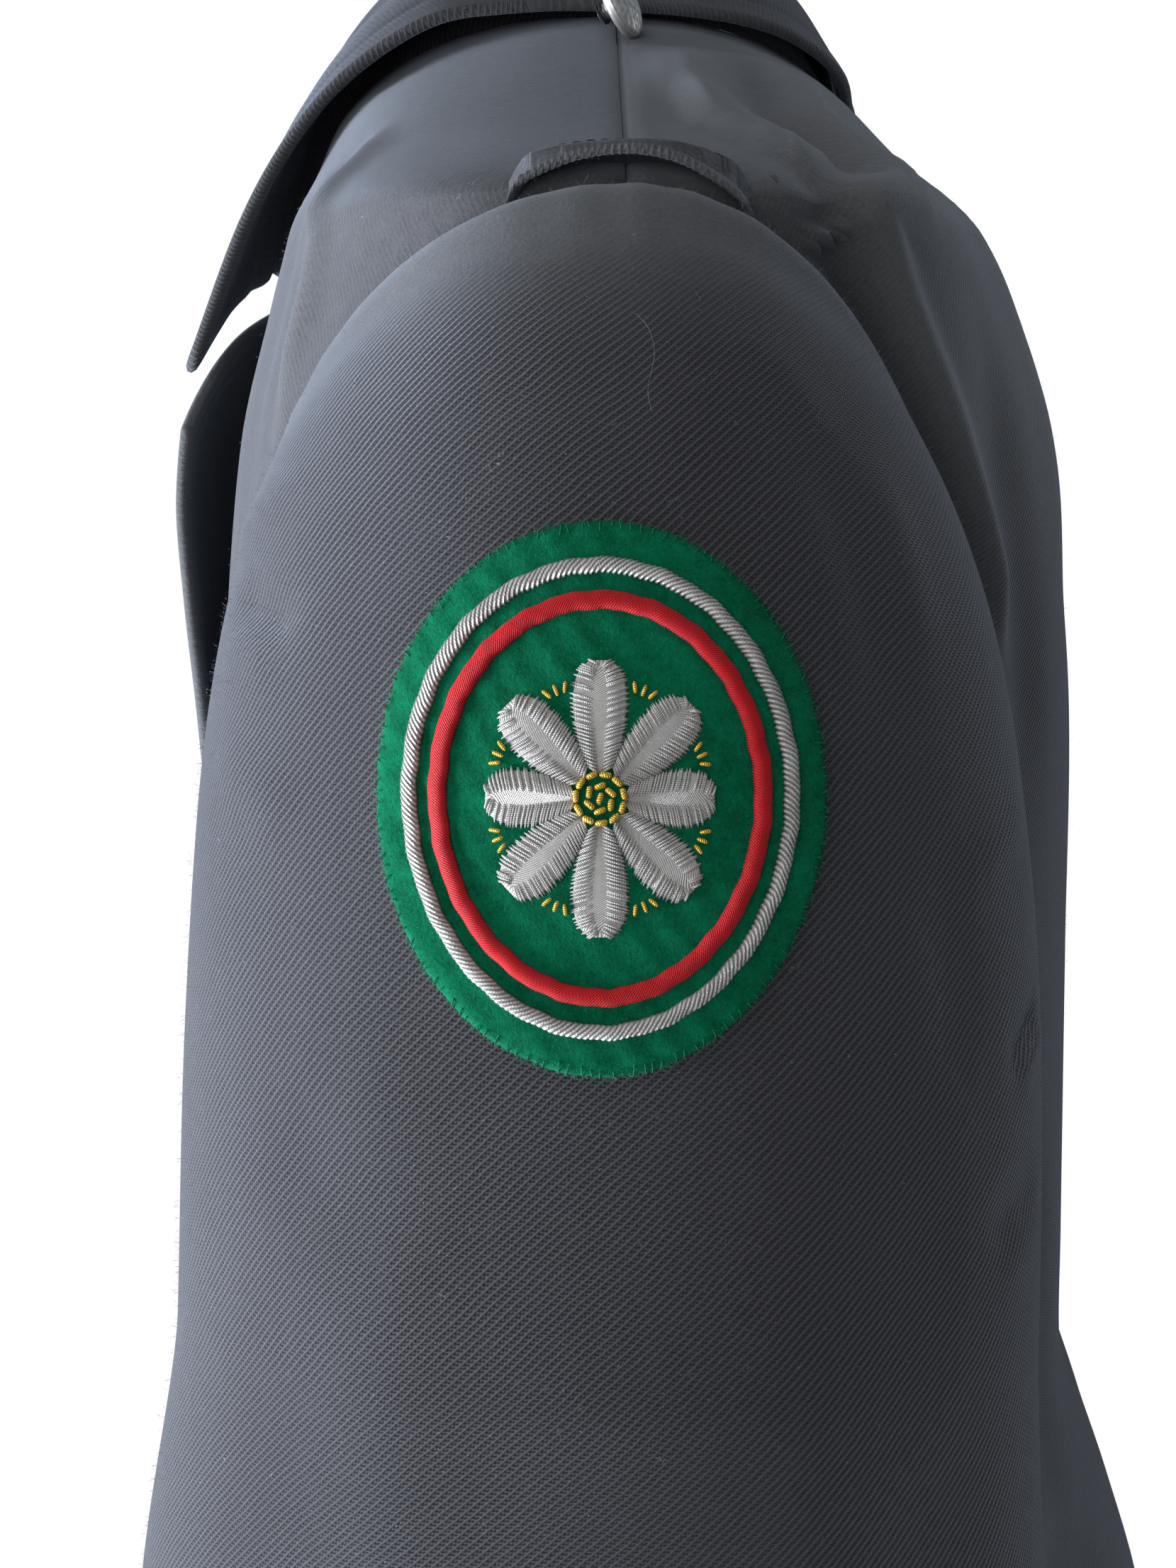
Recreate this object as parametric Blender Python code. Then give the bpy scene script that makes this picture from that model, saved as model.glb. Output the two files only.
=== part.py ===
# Military dress jacket, worn shape, hollow. Metres, +Z up, front towards -Y, the wearer's left at +X.
# The origin is at neck height on the centre plane, where the shoulders carry the coat.
import math

import bmesh
import bpy
import numpy as np

for thing in list(bpy.data.objects):
    bpy.data.objects.remove(thing, do_unlink=True)

# ---------------------------------------------------------------- driving sizes
WALL = 0.0018  # cloth with its interlining
GAP = 0.0004  # open seam between two pieces
HEM_Z = -0.740
BREAK_Z = -0.272  # where the lapel starts to turn back
GORGE_Z = -0.0640
LAP = 0.020  # each front runs this far past the centre
LAP_LIFT = 0.0062  # left front carried outside the right one
LAP_START, LAP_FULL = 0.062, 0.024  # where that lift starts and where it is whole
NECK_Z, NECK_X = 0.006, 0.075
SHOULDER_Z, SHOULDER_X = -0.055, 0.225
ARM_HIGH = 0.090  # half height of the armhole
ARM_FRONT, ARM_BACK = 0.0775, 0.066  # half widths of the armhole
ARM_Z = SHOULDER_Z - ARM_HIGH
BICEPS_Z = -0.262  # first whole ring of the sleeve
CUFF_Z = -0.668
PATCH_Y, PATCH_Z = -0.0050, -0.1560
PATCH_HALF_W, PATCH_HALF_H = 0.0360, 0.0430
BUTTON_FRONT_R, BUTTON_SHOULDER_R = 0.0110, 0.0085

# z, half width, front depth, back depth, squareness of the front, squareness of the back
TORSO = (
    (-0.745, 0.222, 0.134, 0.182, 2.25, 2.10),
    (-0.620, 0.212, 0.130, 0.186, 2.25, 2.05),
    (-0.520, 0.197, 0.124, 0.181, 2.25, 2.00),
    (-0.470, 0.186, 0.120, 0.174, 2.30, 1.95),
    (-0.430, 0.180, 0.118, 0.162, 2.30, 1.95),
    (-0.395, 0.178, 0.118, 0.149, 2.35, 2.10),
    (-0.360, 0.179, 0.118, 0.138, 2.35, 2.30),
    (-0.320, 0.183, 0.118, 0.135, 2.40, 2.40),
    (-0.235, 0.192, 0.112, 0.131, 2.60, 2.45),
    (-0.170, 0.199, 0.106, 0.126, 2.95, 2.60),
    (-0.130, 0.206, 0.101, 0.120, 3.15, 2.65),
    (-0.100, 0.212, 0.096, 0.114, 3.20, 2.60),
    (-0.070, 0.219, 0.088, 0.103, 3.00, 2.45),
    (-0.055, 0.225, 0.084, 0.095, 2.80, 2.35),
    (-0.035, 0.176, 0.081, 0.083, 2.50, 2.20),
    (-0.020, 0.139, 0.078, 0.074, 2.40, 2.10),
    (-0.010, 0.114, 0.073, 0.066, 2.30, 2.10),
    (0.000, 0.0898, 0.063, 0.054, 2.30, 2.10),
    (0.006, 0.075, 0.050, 0.043, 2.30, 2.10),
)
# z, x of the roll line or front edge
FRONT_EDGE = (
    (-0.745, -LAP),
    (BREAK_Z - 0.002, -LAP),
    (-0.240, -0.008),
    (-0.200, 0.008),
    (-0.150, 0.026),
    (-0.100, 0.042),
    (-0.050, 0.056),
    (-0.010, 0.067),
    (0.006, 0.072),
)
# z, x of the back neckline
BACK_NECK = ((-0.745, 0.0), (-0.0065, 0.0), (-0.0045, 0.030), (-0.0015, 0.048), (0.002, 0.061), (0.006, 0.0715))
# z, centre x, centre y, half depth, half width
SLEEVE = (
    (-0.675, 0.296, -0.056, 0.058, 0.039),
    (-0.560, 0.296, -0.038, 0.062, 0.043),
    (-0.460, 0.290, -0.018, 0.068, 0.046),
    (-0.380, 0.279, -0.008, 0.079, 0.046),
    (-0.320, 0.269, -0.0065, 0.0835, 0.047),
    (-0.262, 0.257, -0.0033, 0.0797, 0.052),
    (-0.200, 0.249, -0.0020, 0.0780, 0.055),
)
# b along the roll line, outer edge x, outer edge z, stand-off of the outer edge
LAPEL = (
    (0.00, -0.012, -0.266, 0.0030),
    (0.12, 0.022, -0.246, 0.0034),
    (0.30, 0.060, -0.206, 0.0060),
    (0.50, 0.088, -0.171, 0.0080),
    (0.70, 0.107, -0.141, 0.0110),
    (0.87, 0.119, -0.114, 0.0140),
    (1.00, 0.122, -0.098, 0.0145),
)
# s from the centre back, seam x (back) or z (front), fold x y z, outer edge x y z
COLLAR = (
    (0.00, 0.0000, 0.000, 0.0400, 0.0300, 0.000, 0.0710, -0.0090),
    (0.20, 0.0380, 0.036, 0.0320, 0.0315, 0.052, 0.0600, -0.0030),
    (0.38, 0.0640, 0.061, 0.0080, 0.0330, 0.0820, 0.0310, 0.0045),
    (0.50, 0.0700, 0.068, -0.0150, 0.0300, 0.0885, -0.0080, 0.0065),
    (0.66, -0.0040, 0.071, -0.0480, 0.0190, 0.0960, -0.0440, 0.0020),
    (0.78, -0.0160, 0.070, -0.0690, -0.0010, 0.1000, -0.0700, -0.0150),
    (0.90, -0.0370, 0.066, -0.0850, -0.0300, 0.1050, -0.0890, -0.0420),
    (1.00, -0.0580, 0.0610, -0.0930, -0.0560, 0.1080, -0.1050, -0.0810),
)
NECK_POINT_Z = 0.0050


# ---------------------------------------------------------------- curves
def smooth(table, column, at):
    """A column of a table, read on a smooth curve through its rows."""
    keys = np.array([row[0] for row in table], float)
    vals = np.array([row[column] for row in table], float)
    step = np.diff(vals) / np.diff(keys)
    slope = np.empty(len(vals))
    slope[0], slope[-1] = step[0], step[-1]
    both = step[1:] * step[:-1]
    total = step[1:] + step[:-1]
    slope[1:-1] = np.where(both > 0, 2 * both / np.where(total == 0, 1, total), 0)
    at = np.clip(np.asarray(at, float), keys[0], keys[-1])
    i = np.clip(np.searchsorted(keys, at) - 1, 0, len(keys) - 2)
    h = keys[i + 1] - keys[i]
    t = (at - keys[i]) / h
    return (
        (2 * t**3 - 3 * t**2 + 1) * vals[i]
        + (t**3 - 2 * t**2 + t) * h * slope[i]
        + (3 * t**2 - 2 * t**3) * vals[i + 1]
        + (t**3 - t**2) * h * slope[i + 1]
    )


def ease(t):
    t = np.clip(t, 0, 1)
    return t * t * (3 - 2 * t)


def unit(v):
    return v / np.maximum(np.linalg.norm(v, axis=-1, keepdims=True), 1e-12)


# ---------------------------------------------------------------- the body form
def form_sizes(at_back, z):
    """Half width, depth and squareness of the form's front or back at z."""
    depth = np.where(at_back, smooth(TORSO, 3, z), smooth(TORSO, 2, z))
    square = np.where(at_back, smooth(TORSO, 5, z), smooth(TORSO, 4, z))
    return smooth(TORSO, 1, z), depth, square


def torso(theta, z):
    """theta 0 is the side, +90 degrees the back, -90 degrees the front."""
    c, s = np.cos(theta), np.sin(theta)
    w, depth, n = form_sizes(s > 0, z)
    x = w * np.sign(c) * np.abs(c) ** (2 / n)
    y = depth * np.sign(s) * np.abs(s) ** (2 / n)
    return np.stack([x, y, z + 0 * x], -1)


def torso_normal(theta, z):
    d, h = 0.012, 0.0015
    around = torso(theta + d, z) - torso(theta - d, z)
    zlow = np.minimum(z, NECK_Z - 2 * h)
    up = torso(theta, zlow + h) - torso(theta, zlow - h)
    return unit(np.cross(around, up))


def theta_at_y(y, z):
    _, depth, n = form_sizes(y > 0, z)
    return math.copysign(math.asin(min(1.0, abs(y) / depth) ** (n / 2)), y)


def theta_at_x(x, z, at_back=False):
    w, _, n = form_sizes(at_back, z)
    a = math.acos(min(1.0, (abs(x) / w)) ** (n / 2))
    return a if x >= 0 else math.pi - a


def armhole(psi, grow=0.0):
    """y and z of the armhole line; psi 0 is its top, +90 degrees its back."""
    s, c = np.sin(psi), np.cos(psi)
    wide = np.where(s > 0, ARM_BACK * (1 - 0.10 * c), ARM_FRONT * (1 - 0.02 * c)) + grow
    return wide * s, ARM_Z + (ARM_HIGH + grow) * c


RING = 24  # columns round a sleeve
HALF = RING // 2


def body_rows():
    low = [HEM_Z, -0.66, -0.58, -0.50, -0.43, -0.36, -0.295]
    arm = [float(armhole(math.pi * k / HALF, GAP)[1]) for k in range(HALF, -1, -1)]
    return low + arm + [-0.040, -0.025, -0.013, -0.003, 0.0045]


def side_edge(z, sign):
    """The theta where a panel ends at the side seam, the armhole or the shoulder seam."""
    top, bottom = ARM_Z + ARM_HIGH + GAP, ARM_Z - ARM_HIGH - GAP
    if z <= bottom + 1e-6 or z >= top - 1e-6:
        return theta_at_y(sign * GAP / 2, z)
    psi = math.acos((z - ARM_Z) / (ARM_HIGH + GAP))
    y = float(armhole(sign * psi, GAP)[0])
    return theta_at_y(y, z)


def front_panel(columns, lapped):
    """Outer and inner points of a front, on the wearer's left; the other is its mirror."""
    rows = body_rows()
    outer, inner = [], []
    for z in rows:
        a = side_edge(z, -1)
        edge = float(smooth(FRONT_EDGE, 1, z))
        b, c, d = (-theta_at_x(x, z) for x in (max(LAP_START, edge + 0.3 * (-edge + 0.09)), max(LAP_FULL, edge + 0.12 * (-edge + 0.09)), edge))
        th = np.append(a + (b - a) * np.linspace(0, 1, columns - 2), [c, d])
        zz = np.full(columns, z)
        p, n = torso(th, zz), torso_normal(th, zz)
        if lapped:
            p = p + n * (LAP_LIFT * ease((LAP_START - p[:, 0:1]) / (LAP_START - LAP_FULL)))
        outer.append(p)
        inner.append(p - n * WALL)
    return np.array(outer), np.array(inner)


def back_panel(columns):
    rows = body_rows()
    outer, inner = [], []
    for z in rows:
        a = side_edge(z, 1)
        b = theta_at_x(max(float(smooth(BACK_NECK, 1, z)), GAP / 2), z, True)
        th = a + (b - a) * np.linspace(0, 1, columns)
        zz = np.full(columns, z)
        p, n = torso(th, zz), torso_normal(th, zz)
        outer.append(p)
        inner.append(p - n * WALL)
    return np.array(outer), np.array(inner)


# ---------------------------------------------------------------- the sleeve
def sleeve_ring(psi, z):
    """A whole ring of the sleeve, square to the arm's line."""
    cx, cy = smooth(SLEEVE, 1, z), smooth(SLEEVE, 2, z)
    a, b = smooth(SLEEVE, 3, z), smooth(SLEEVE, 4, z)
    h = 0.004
    tx = (smooth(SLEEVE, 1, z - h) - smooth(SLEEVE, 1, z + h)) / (2 * h)
    ty = (smooth(SLEEVE, 2, z - h) - smooth(SLEEVE, 2, z + h)) / (2 * h)
    down = unit(np.stack([tx, ty, -1 + 0 * tx], -1))
    out = unit(np.stack([1 + 0 * tx, 0 * tx, tx], -1))
    side = np.cross(out, down)
    side = side * np.sign(side[..., 1:2])
    centre = np.stack([cx, cy, z + 0 * cx], -1)
    c, s = np.cos(psi)[..., None], np.sin(psi)[..., None]
    return centre + out * (b[..., None] * c) + side * (a[..., None] * s), down


def sleeve(psi, t):
    """psi 0 is outward, +90 degrees the back; t 0 the armhole, 1 the biceps, 3 the cuff."""
    psi, t = np.broadcast_arrays(np.asarray(psi, float), np.asarray(t, float))
    y, z = armhole(psi)
    w, depth, n = form_sizes(y > 0, z)
    x = w * (1 - np.minimum(1, np.abs(y) / depth) ** n) ** (1 / n)
    start = np.stack([x, y, z], -1)
    c, s = np.cos(psi), np.sin(psi)
    lead = unit(np.stack([1 + 0 * c, np.where(s > 0, 0.50, 0.34) * s, -0.16 - 0.06 * c], -1))
    start = start + lead * 0.0009
    end, down = sleeve_ring(psi, np.full(psi.shape, BICEPS_Z))
    m1 = (0.105 + 0.075 * c)[..., None]
    m2 = (0.115 + 0.085 * c)[..., None]
    u = np.clip(t, 0, 1)[..., None]
    cap = (
        (2 * u**3 - 3 * u**2 + 1) * start
        + (u**3 - 2 * u**2 + u) * m1 * lead
        + (3 * u**2 - 2 * u**3) * end
        + (u**3 - u**2) * m2 * down
    )
    zt = BICEPS_Z + (np.clip(t, 1, 3) - 1) / 2 * (CUFF_Z - BICEPS_Z)
    tube, _ = sleeve_ring(psi, zt)
    return np.where(t[..., None] < 1, cap, tube)


def sleeve_normal(psi, t):
    psi, t = np.broadcast_arrays(np.asarray(psi, float), np.asarray(t, float))
    d = 0.02
    around = sleeve(psi + d, t) - sleeve(psi - d, t)
    low, high = np.clip(t - d, 0, 3), np.clip(t + d, 0, 3)
    along = sleeve(psi, high) - sleeve(psi, low)
    return unit(np.cross(along, around))


def sleeve_rows():
    return [0.0, 0.12, 0.27, 0.43, 0.60, 0.80, 1.0, 1.2, 1.4, 1.6, 1.8, 2.0, 2.25, 2.5, 2.75, 3.0]


FRONT_SEAM, BACK_SEAM = -8, 6  # sleeve seams, in ring columns from the outward one


def sleeve_panel(first, last):
    cols = list(range(first, last + 1))
    t = np.array(sleeve_rows())[:, None]
    psi = np.array([2 * math.pi * k / RING for k in cols])
    half = GAP / 2 / 0.065
    psi[0] += half
    psi[-1] -= half
    psi = psi[None, :]
    outer = sleeve(psi, t)
    return outer, outer - sleeve_normal(psi, t) * WALL


def on_sleeve(y, z):
    """psi and t of the point of the sleeve's outer side at this y and z."""
    psi, t = np.zeros(np.shape(y)), np.full(np.shape(y), 0.5)
    for _ in range(14):
        p = sleeve(psi, t)
        e = 1e-4
        a = (sleeve(psi + e, t) - p) / e
        b = (sleeve(psi, t + e) - p) / e
        dy, dz = y - p[..., 1], z - p[..., 2]
        det = a[..., 1] * b[..., 2] - a[..., 2] * b[..., 1]
        psi = psi + np.clip((dy * b[..., 2] - dz * b[..., 1]) / det, -0.3, 0.3)
        t = t + np.clip((dz * a[..., 1] - dy * a[..., 2]) / det, -0.3, 0.3)
        t = np.clip(t, 0.01, 2.9)
    return psi, t


# ---------------------------------------------------------------- lapels and collar
def torso_y(x, z):
    """y of the front of the form at x and z."""
    w, f, n = form_sizes(False, z)
    return -f * (1 - np.minimum(0.999, np.abs(x) / w) ** n) ** (1 / n)


def lapel(a, b, lapped=True):
    """a runs from the roll line to the outer edge, b from the break to the gorge."""
    z0 = BREAK_Z + (GORGE_Z - BREAK_Z) * b
    x0 = smooth(FRONT_EDGE, 1, z0) - 0.0006
    x1, z1 = smooth(LAPEL, 1, b), smooth(LAPEL, 2, b)
    x, z = x0 + (x1 - x0) * a, z0 + (z1 - z0) * a
    z = z + 0.0062 * np.sin(np.pi * np.clip(a, 0, 1) ** 1.3) * np.maximum(b, 0) ** 6
    off = 0.0026 + (smooth(LAPEL, 3, b) - 0.0026) * np.maximum(a, 0) ** 1.15
    off = off + 0.0015 * np.sin(np.pi * a) * ease(b / 0.35)
    if lapped:
        off = off + LAP_LIFT * ease((LAP_START - x) / (LAP_START - LAP_FULL))
    return np.stack([x, torso_y(x, z) - off, z], -1)


def lapel_panel(columns, rows, lapped):
    a, b = np.meshgrid(np.linspace(0, 1, columns), np.linspace(0, 1, rows))
    p = lapel(a, b, lapped)
    e = 1e-3
    n = unit(np.cross(lapel(a + e, b, lapped) - lapel(a - e, b, lapped), lapel(a, b + e, lapped) - lapel(a, b - e, lapped)))
    n = n * -np.sign(n[..., 1:2])
    return p, p - n * WALL


def neckline(s):
    """The inner corner of the neckline at s: across the back to 0.5, then down the front."""
    if s <= 0.5:
        x = float(smooth([(r[0], r[1]) for r in COLLAR[:4]], 1, s))
        z = float(smooth([(r[1], r[0]) for r in BACK_NECK[1:]], 1, x)) if x > 0.0005 else BACK_NECK[1][0]
        z = min(z, NECK_POINT_Z)
        th = theta_at_x(x, z, True)
    else:
        z = float(smooth([(0.5, NECK_POINT_Z)] + [(r[0], r[1]) for r in COLLAR[4:]], 1, s))
        th = -theta_at_x(float(smooth(FRONT_EDGE, 1, z)), z)
    p = torso(np.array([th]), np.array([z]))[0]
    n = torso_normal(np.array([th]), np.array([z]))[0]
    toward = unit(np.array([-p[0], -0.010 - p[1], 0.0]) + 1e-9)
    over = ease((s - 0.46) / 0.16)
    return p + n * (0.0030 * over - WALL * 0.8 * (1 - over)) + toward * 0.0010 + np.array([0, 0, 0.0018 - 0.0006 * over])


def collar_row(s):
    get = [float(smooth(COLLAR, k, abs(s))) for k in range(2, 8)]
    flip = np.array([-1 if s < 0 else 1, 1, 1])
    return neckline(abs(s)) * flip, np.array(get[:3]) * flip, np.array(get[3:]) * flip


def collar_points(s, steps_up, steps_down):
    """The outside line of the collar at s: up the stand, over the fold, down the fall to its edge."""
    seam, fold, edge = collar_row(s)
    out = unit(np.array([edge[0] - seam[0], edge[1] - seam[1], 0.0]) + 1e-9)
    roll = 0.0036 * (1 - 0.45 * ease((abs(s) - 0.8) / 0.2))
    up = [seam + (fold - seam) * t for t in np.linspace(0, 0.86, steps_up)]
    crown = fold + out * roll * 0.55 + np.array([0, 0, 0.0012])
    start = fold + out * roll * 1.5 - np.array([0, 0, 0.0020])
    down = []
    for t in np.linspace(0, 1, steps_down):
        q = start + (edge - start) * t
        down.append(q + (out * 0.6 + np.array([0, 0, 0.8])) * 0.0045 * math.sin(math.pi * t) * (1 - 0.5 * t))
    return np.array(up + [crown] + down)


def collar_wall(count, steps_up=3, steps_down=5):
    lines = np.array([collar_points(s, steps_up, steps_down) for s in np.linspace(-1, 1, count)])
    along = np.gradient(lines, axis=0)
    down = np.gradient(lines, axis=1)
    n = unit(np.cross(along, down))
    return lines, n


# ---------------------------------------------------------------- meshes
def material(name, colour, rough, metal=0.0):
    m = bpy.data.materials.new(name)
    m.use_nodes = True
    bsdf = m.node_tree.nodes["Principled BSDF"]
    bsdf.inputs["Base Color"].default_value = (*colour, 1)
    bsdf.inputs["Roughness"].default_value = rough
    bsdf.inputs["Metallic"].default_value = metal
    return m


def add(name, points, faces, look):
    mesh = bpy.data.meshes.new(name)
    mesh.from_pydata([tuple(map(float, p)) for p in points], [], faces)
    bm = bmesh.new()
    bm.from_mesh(mesh)
    bmesh.ops.recalc_face_normals(bm, faces=bm.faces)
    bm.to_mesh(mesh)
    bm.free()
    mesh.materials.append(look)
    mesh.shade_smooth()
    mesh.set_sharp_from_angle(angle=math.radians(40))
    ob = bpy.data.objects.new(name, mesh)
    bpy.context.scene.collection.objects.link(ob)
    return ob


def wall(name, outer, inner, look, mirror=False, close=False):
    """A closed wall between two grids of points; close joins the last column to the first."""
    rows, cols = outer.shape[:2]
    pts = np.concatenate([outer.reshape(-1, 3), inner.reshape(-1, 3)])
    if mirror:
        pts = pts * np.array([-1, 1, 1])
    half = rows * cols
    span = cols if close else cols - 1
    faces = []
    for r in range(rows - 1):
        for c in range(span):
            d = (c + 1) % cols
            q = [r * cols + c, r * cols + d, (r + 1) * cols + d, (r + 1) * cols + c]
            faces.append(q)
            faces.append([half + k for k in reversed(q)])
    for c in range(span):
        d = (c + 1) % cols
        for r in (0, rows - 1):
            faces.append([r * cols + c, r * cols + d, half + r * cols + d, half + r * cols + c])
    if not close:
        for r in range(rows - 1):
            for c in (0, cols - 1):
                faces.append([r * cols + c, (r + 1) * cols + c, half + (r + 1) * cols + c, half + r * cols + c])
    return add(name, pts, faces, look)


def turned(name, profile, count, place, look, mirror=False):
    """A turned piece; profile runs from the axis over the outside back to the axis, as radius and height."""
    pts, faces = [], []
    rings = []
    for r, h in profile:
        if r == 0:
            rings.append([len(pts)])
            pts.append((0, 0, h))
        else:
            ring = []
            for k in range(count):
                a = 2 * math.pi * k / count
                ring.append(len(pts))
                pts.append((r * math.cos(a), r * math.sin(a), h))
            rings.append(ring)
    for lo, hi in zip(rings, rings[1:]):
        for k in range(count):
            a, b = lo[k % len(lo)], lo[(k + 1) % len(lo)]
            c, d = hi[(k + 1) % len(hi)], hi[k % len(hi)]
            face = []
            for v in (a, b, c, d):
                if v not in face:
                    face.append(v)
            faces.append(face)
    centre, axis = np.array(place[0], float), unit(np.array(place[1], float))
    side = unit(np.cross(axis, np.array([0.0, 1.0, 0.0]) if abs(axis[1]) < 0.8 else np.array([1.0, 0.0, 0.0])))
    other = np.cross(axis, side)
    world = [centre + side * p[0] + other * p[1] + axis * p[2] for p in pts]
    if mirror:
        world = [p * np.array([-1, 1, 1]) for p in world]
    return add(name, world, faces, look)


CLOTH = material("cloth_grey", (0.060, 0.061, 0.070), 0.9)
FELT = material("felt_green", (0.0, 0.13, 0.055), 0.95)
RED = material("cord_red", (0.55, 0.01, 0.02), 0.6)
SILVER = material("bullion_silver", (0.62, 0.60, 0.60), 0.35, 0.6)
GOLD = material("bullion_gold", (0.75, 0.55, 0.12), 0.35, 0.6)
PEWTER = material("button_pewter", (0.62, 0.61, 0.58), 0.35, 1.0)

# fronts, backs
for side, mirror, lapped in (("left", False, True), ("right", True, False)):
    wall("front_" + side, *front_panel(9, lapped), CLOTH, mirror)
    wall("back_" + side, *back_panel(9), CLOTH, mirror)
    wall("lapel_" + side, *lapel_panel(6, 9, lapped), CLOTH, mirror)
    wall("upper_sleeve_" + side, *sleeve_panel(FRONT_SEAM, BACK_SEAM), CLOTH, mirror)
    wall("under_sleeve_" + side, *sleeve_panel(BACK_SEAM, RING + FRONT_SEAM), CLOTH, mirror)

lines, normal = collar_wall(25)
wall("collar", lines, lines - normal * WALL * 1.1, CLOTH)


# ---------------------------------------------------------------- shoulder loops
LOOP_HALF, LOOP_WIDE, LOOP_RISE, LOOP_THICK = 0.0270, 0.0110, 0.0038, 0.0018


def loop_points(v, across):
    """v from -1 to 1 along the bar, across from 0 at the neck side to 1 at the sleeve side."""
    y = LOOP_HALF * v + 0.0010
    x = SHOULDER_X - 0.0105 + LOOP_WIDE * across
    # height of the shoulder under this point, and past the seam the height of the sleeve head
    low, high = np.full(np.shape(y + x), -0.12), np.full(np.shape(y + x), 0.004)
    for _ in range(40):
        mid = (low + high) / 2
        w, depth, n = form_sizes(y > 0, mid)
        inside = (x / w) ** n + (np.abs(y) / depth) ** n < 1
        low, high = np.where(inside, mid, low), np.where(inside, high, mid)
    head = -0.0535 - np.where(y > 0, 0.0115 * across, 0.0070) * (y / LOOP_HALF) ** 2
    high = np.maximum(high, head)
    rise = LOOP_RISE * (1 - np.abs(v) ** 2.2)
    up = np.array([0.36, 0.0, 0.93])
    p = np.stack([x + 0 * y, y + 0 * x, high], -1)
    lift = 0.0012 + 0.0015 * np.maximum(v, 0) ** 6
    return p + up * (rise + lift)[..., None], up


v, across = np.meshgrid(np.linspace(-1, 1, 15), np.linspace(0, 1, 5), indexing="ij")
base, up = loop_points(v, across)
for side, mirror in (("left", False), ("right", True)):
    wall("loop_" + side, base + up * LOOP_THICK, base, CLOTH, mirror)


# ---------------------------------------------------------------- buttons
def dome(radius, shank):
    """Radius and height of a domed button over its shank, from the face's centre to the shank's end."""
    rise = radius * 0.42
    top = [(0.0, shank + 0.0016 + rise)]
    for k in range(1, 5):
        a = math.pi / 2 * k / 4
        top.append((radius * math.sin(a), shank + 0.0016 + rise * math.cos(a)))
    return top + [(radius, shank + 0.0006), (radius * 0.86, shank), (0.0022, shank), (0.0020, 0.0), (0.0, 0.0)]


for k in range(4):
    z = -0.292 - 0.088 * k
    th = -theta_at_x(0.0, z)
    p = torso(np.array([th]), np.array([z]))[0]
    n = torso_normal(np.array([th]), np.array([z]))[0]
    turned("button_front_%d" % (k + 1), dome(BUTTON_FRONT_R, 0.0022), 14, (p + n * (LAP_LIFT + 0.0005), n), PEWTER)

for side, mirror in (("left", False), ("right", True)):
    turned(
        "button_shoulder_" + side,
        dome(BUTTON_SHOULDER_R, 0.0040),
        14,
        ((0.1017, -0.0041, 0.0004), (0.35, 0.82, 0.38)),
        PEWTER,
        mirror,
    )


# ---------------------------------------------------------------- sleeve patch, built from the sleeve's points moved out
def patch_point(y, z, lift):
    psi, t = on_sleeve(np.asarray(y, float), np.asarray(z, float))
    return sleeve(psi, t) + sleeve_normal(psi, t) * np.asarray(lift)[..., None]


def oval(radial, angle):
    return PATCH_Y + PATCH_HALF_W * radial * np.sin(angle), PATCH_Z + PATCH_HALF_H * radial * np.cos(angle)


def plate(name, outline_count, rings, shape, low, high, look):
    """A plate on the sleeve; shape gives the share of the patch's half sizes at an angle."""
    ang = np.linspace(0, 2 * math.pi, outline_count, endpoint=False)
    pts, faces = [], []
    layers = []
    for lift in (high, low):
        rows = []
        for r in np.linspace(0, 1, rings + 1)[1:]:
            y, z = oval(r * shape(ang), ang)
            rows.append(range(len(pts), len(pts) + outline_count))
            pts.extend(patch_point(y, z, np.full(outline_count, lift)))
        y, z = oval(np.zeros(1), np.zeros(1))
        centre = len(pts)
        pts.extend(patch_point(y, z, np.full(1, lift)))
        layers.append((rows, centre))
    for rows, centre in layers:
        for k in range(outline_count):
            m = (k + 1) % outline_count
            faces.append([centre, rows[0][k], rows[0][m]])
            for a, b in zip(rows, rows[1:]):
                faces.append([a[k], b[k], b[m], a[m]])
    top, bottom = layers[0][0][-1], layers[1][0][-1]
    for k in range(outline_count):
        m = (k + 1) % outline_count
        faces.append([top[k], top[m], bottom[m], bottom[k]])
    return add(name, pts, faces, look)


def ring_cord(name, outer_share, wide, low, high, look):
    """A couched cord laid in an oval ring."""
    count = 40
    ang = np.linspace(0, 2 * math.pi, count, endpoint=False)
    section = ((0.0, 0.0), (0.0, 0.55), (0.28, 1.0), (0.72, 1.0), (1.0, 0.55), (1.0, 0.0))
    grid = []
    for across, up in section:
        shrink_y = outer_share - wide * across / PATCH_HALF_W
        shrink_z = outer_share - wide * across / PATCH_HALF_H
        y = PATCH_Y + PATCH_HALF_W * shrink_y * np.sin(ang)
        z = PATCH_Z + PATCH_HALF_H * shrink_z * np.cos(ang)
        grid.append(patch_point(y, z, np.full(count, low + (high - low) * up)))
    grid = np.array(grid)
    pts = grid.reshape(-1, 3)
    m = len(section)
    faces = []
    for i in range(m):
        j = (i + 1) % m
        for k in range(count):
            l = (k + 1) % count
            faces.append([i * count + k, i * count + l, j * count + l, j * count + k])
    return add(name, pts, faces, look)


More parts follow.
